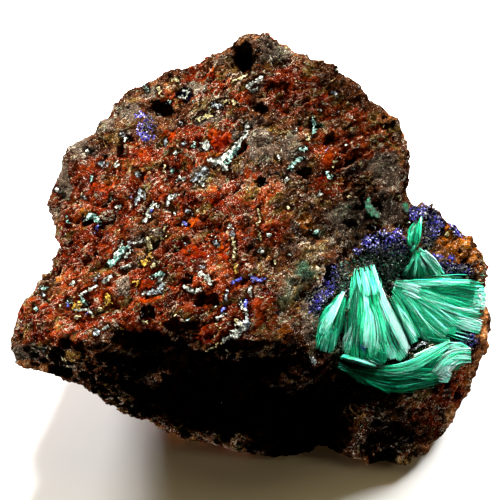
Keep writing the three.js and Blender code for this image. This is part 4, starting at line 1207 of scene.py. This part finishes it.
# Colours from tone 0 to 1, roughness, how far noise shifts the tone, its size and the bump's height in mm,
# and the specular level.
LOOKS = {
    # The malachite's palest colours serve as painted sheen on its silky fibres.
    "malachite": (
        ((0.0, (0, 14, 5)), (0.16, (1, 84, 42)), (0.34, (3, 206, 142)), (0.5, (16, 246, 194)),
         (0.66, (62, 255, 218)), (0.84, (168, 255, 240)), (1.0, (246, 255, 253))),
        0.35, 0.14, 0.18, 0.03, 0.6),
    "azurite": (
        ((0.0, (1, 1, 4)), (0.3, (5, 4, 26)), (0.5, (20, 12, 84)), (0.7, (48, 36, 162)),
         (0.85, (96, 86, 210)), (1.0, (226, 222, 250))),
        0.3, 0.1, 0.3, 0.03, 0.35),
    # Dark green of the druse, deepened with painted shade of the hollow it lies in.
    "druse": (
        ((0.0, (1, 4, 3)), (0.2, (2, 13, 7)), (0.45, (7, 48, 27)), (0.7, (50, 136, 98)),
         (1.0, (230, 245, 238))),
        0.3, 0.1, 0.3, 0.03, 0.25),
    "malachite_pale": (
        ((0.0, (2, 16, 7)), (0.3, (8, 58, 32)), (0.5, (20, 84, 54)), (0.7, (48, 118, 84)),
         (1.0, (150, 208, 176))),
        0.5, 0.08, 0.4, 0.05, 0.15),
    "quartz": (
        ((0.0, (70, 76, 72)), (0.5, (150, 160, 154)), (1.0, (230, 236, 230))),
        0.35, 0.06, 0.5, 0.05, 0.5),
}
CRUST_PLACES = (0.1, 0.35, 0.5, 0.65, 0.9)  # of a crust's five colours
CRUST_LOOK = (0.6, 0.3, 0.6, 0.06, 0.2)  # then as in LOOKS
# Each kind of crust: its slot and its colours.
CRUST_COLOURS = {
    "white": ("quartz", (10, 12, 9), (42, 44, 36), (86, 88, 76), (146, 148, 134), (240, 240, 228)),
    "mint": ("malachite_pale", (5, 22, 16), (28, 54, 46), (60, 94, 82), (110, 148, 132), (210, 232, 220)),
    "cream": ("gossan", (18, 12, 6), (62, 50, 26), (106, 94, 54), (158, 146, 96), (234, 224, 180)),
    "yellow": ("gossan", (36, 22, 3), (104, 72, 10), (154, 116, 22), (192, 158, 44), (240, 222, 116)),
    "grey": ("quartz", (8, 9, 9), (32, 36, 36), (62, 67, 67), (104, 110, 110), (204, 208, 208)),
    "blue": ("azurite", (4, 4, 18), (14, 15, 62), (30, 32, 112), (64, 70, 180), (186, 190, 240)),
}


def tone_material(name, stops, roughness, shift, size, bump, specular, toned=True):
    """A material whose colour follows the tone of each point, or the middle tone, shifted by noise."""
    n = Nodes(name)
    wobble = n.times(n.math("SUBTRACT", n.noise(size, 4, 0.75), 0.5), shift * 10)
    tone = n.attribute("tone") if toned else 0.5
    tint = n.ramp(n.math("ADD", tone, wobble), stops)
    n.set_shader(Base_Color=tint, Roughness=roughness, Specular_IOR_Level=specular)
    n.bump(n.noise(size / 2, 4, 0.7), bump)
    return n.material


# ---------------------------------------------------------------- stage
FLOOR_HALF = 3000.0  # mm
PAPER_COLOUR = (0.8, 0.8, 0.8, 1)
PAPER_GLOW = (0.012, 0.006, 0.001, 1)
WORLD_LIGHT = 0.012
# Round lamps: whether one lights all but the floor (EXCLUDE) or the floor alone (INCLUDE), then the place
# and width in mm, the power in W and the colour.
LAMPS = {
    "soft": ("EXCLUDE", (0, 130, 480), 300, 7.5, (1, 1, 1)),
    "key": ("EXCLUDE", (75, 340, 290), 70, 7.5, (1, 1, 1)),
    "left": ("EXCLUDE", (-420, -45, 8), 60, 9.3, (1, 1, 1)),
    "right": ("EXCLUDE", (420, 70, 60), 100, 2.6, (1, 1, 1)),
    "floor_key": ("INCLUDE", (6, 333, 310), 55, 6.0, (1, 1, 1)),
    "floor_low": ("INCLUDE", (-129, 423, 160), 170, 5.9, (1, 0.97, 0.95)),
    "floor_right": ("INCLUDE", (265, 250, 258), 180, 4.7, (1, 1, 1)),
    "floor_side": ("INCLUDE", (380, -100, 200), 150, 0.22, (1, 0.76, 0.36)),
    "floor_top": ("INCLUDE", (0, 120, 300), 300, 0.36, (1, 0.77, 0.38)),
}


def add_lamp(name, floor, link_state, place, width, power, colour):
    """A lamp aimed at the specimen."""
    data = bpy.data.lights.new(name, "AREA")
    data.shape = "DISK"
    data.size = width * MM
    data.energy = power
    data.color = colour
    lamp = bpy.data.objects.new(name, data)
    lamp.location = Vector(place) * MM
    lamp.rotation_euler = (TARGET * MM - lamp.location).to_track_quat("-Z", "Y").to_euler()
    bpy.context.scene.collection.objects.link(lamp)
    lit = bpy.data.collections.new(name + "_lit")
    lit.objects.link(floor)
    lit.collection_objects[0].light_linking.link_state = link_state
    lamp.light_linking.receiver_collection = lit


def make_floor():
    corners = [(-FLOOR_HALF, -FLOOR_HALF, 0), (FLOOR_HALF, -FLOOR_HALF, 0),
               (FLOOR_HALF, FLOOR_HALF, 0), (-FLOOR_HALF, FLOOR_HALF, 0)]
    floor = mesh_object("floor", corners, [(0, 1, 2, 3)])
    paper = Nodes("floor")
    paper.set_shader(Base_Color=PAPER_COLOUR, Roughness=0.9, Specular_IOR_Level=0.0)
    paper.set_shader(Emission_Color=PAPER_GLOW, Emission_Strength=1.0)
    floor.data.materials.append(paper.material)
    floor.visible_diffuse = False
    floor.visible_glossy = False
    return floor


def make_stage():
    floor = make_floor()
    world = bpy.data.worlds.new("world")
    world.use_nodes = True
    background = world.node_tree.nodes["Background"]
    background.inputs["Color"].default_value = (1, 1, 1, 1)
    background.inputs["Strength"].default_value = WORLD_LIGHT
    bpy.context.scene.world = world
    for name, values in LAMPS.items():
        add_lamp(name, floor, *values)
    bpy.context.scene.view_settings.view_transform = "Standard"


# ---------------------------------------------------------------- the specimen
# The seeds of the first piece of each group.
FIBROUS_SEED, GRAINY_SEED, LUMP_SEED, CRUST_SEED = 1, 20, 30, 40


def finish_piece(piece, material, slot, *nodes):
    """Gives a piece its material and tells which CAD nodes it replaces; the slot is not used."""
    piece.data.materials.clear()
    piece.data.materials.append(material)
    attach(piece, "root")
    if nodes:
        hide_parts(*nodes)


rock = build_rock()
rock_tree = tree_of(rock.data)
finish_piece(rock, rock_material(), "gossan", "matrix")
looks = {name: tone_material(name, *values) for name, values in LOOKS.items()}
crystals = []
for seed, node in enumerate(FIBROUS, FIBROUS_SEED):
    piece = build_fibrous(node, seed)
    finish_piece(piece, looks["malachite"], "malachite", node)
    crystals.append(piece.data)
for seed, node in enumerate(GRAINY, GRAINY_SEED):
    piece = build_grainy(node, rock_tree, seed)
    slot = "druse" if node == "druse" else "azurite"
    finish_piece(piece, looks[slot], slot, node)
    crystals.append(piece.data)
for seed, node in enumerate(LUMPY, LUMP_SEED):
    piece = build_lump(node, tree_of(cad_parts[node].data), seed)
    slot = "quartz" if node == "grey_flake" else "malachite_pale"
    finish_piece(piece, looks[slot], slot, node)
seen = tree_of(rock.data, *crystals)
for seed, (kind, (slot, *colours)) in enumerate(CRUST_COLOURS.items(), CRUST_SEED):
    piece = build_crust(kind, seed, rock, rock_tree, seen)
    stops = tuple(zip(CRUST_PLACES, colours))
    finish_piece(piece, tone_material("crust_" + kind, stops, *CRUST_LOOK, toned=False), slot)

make_camera()
make_stage()
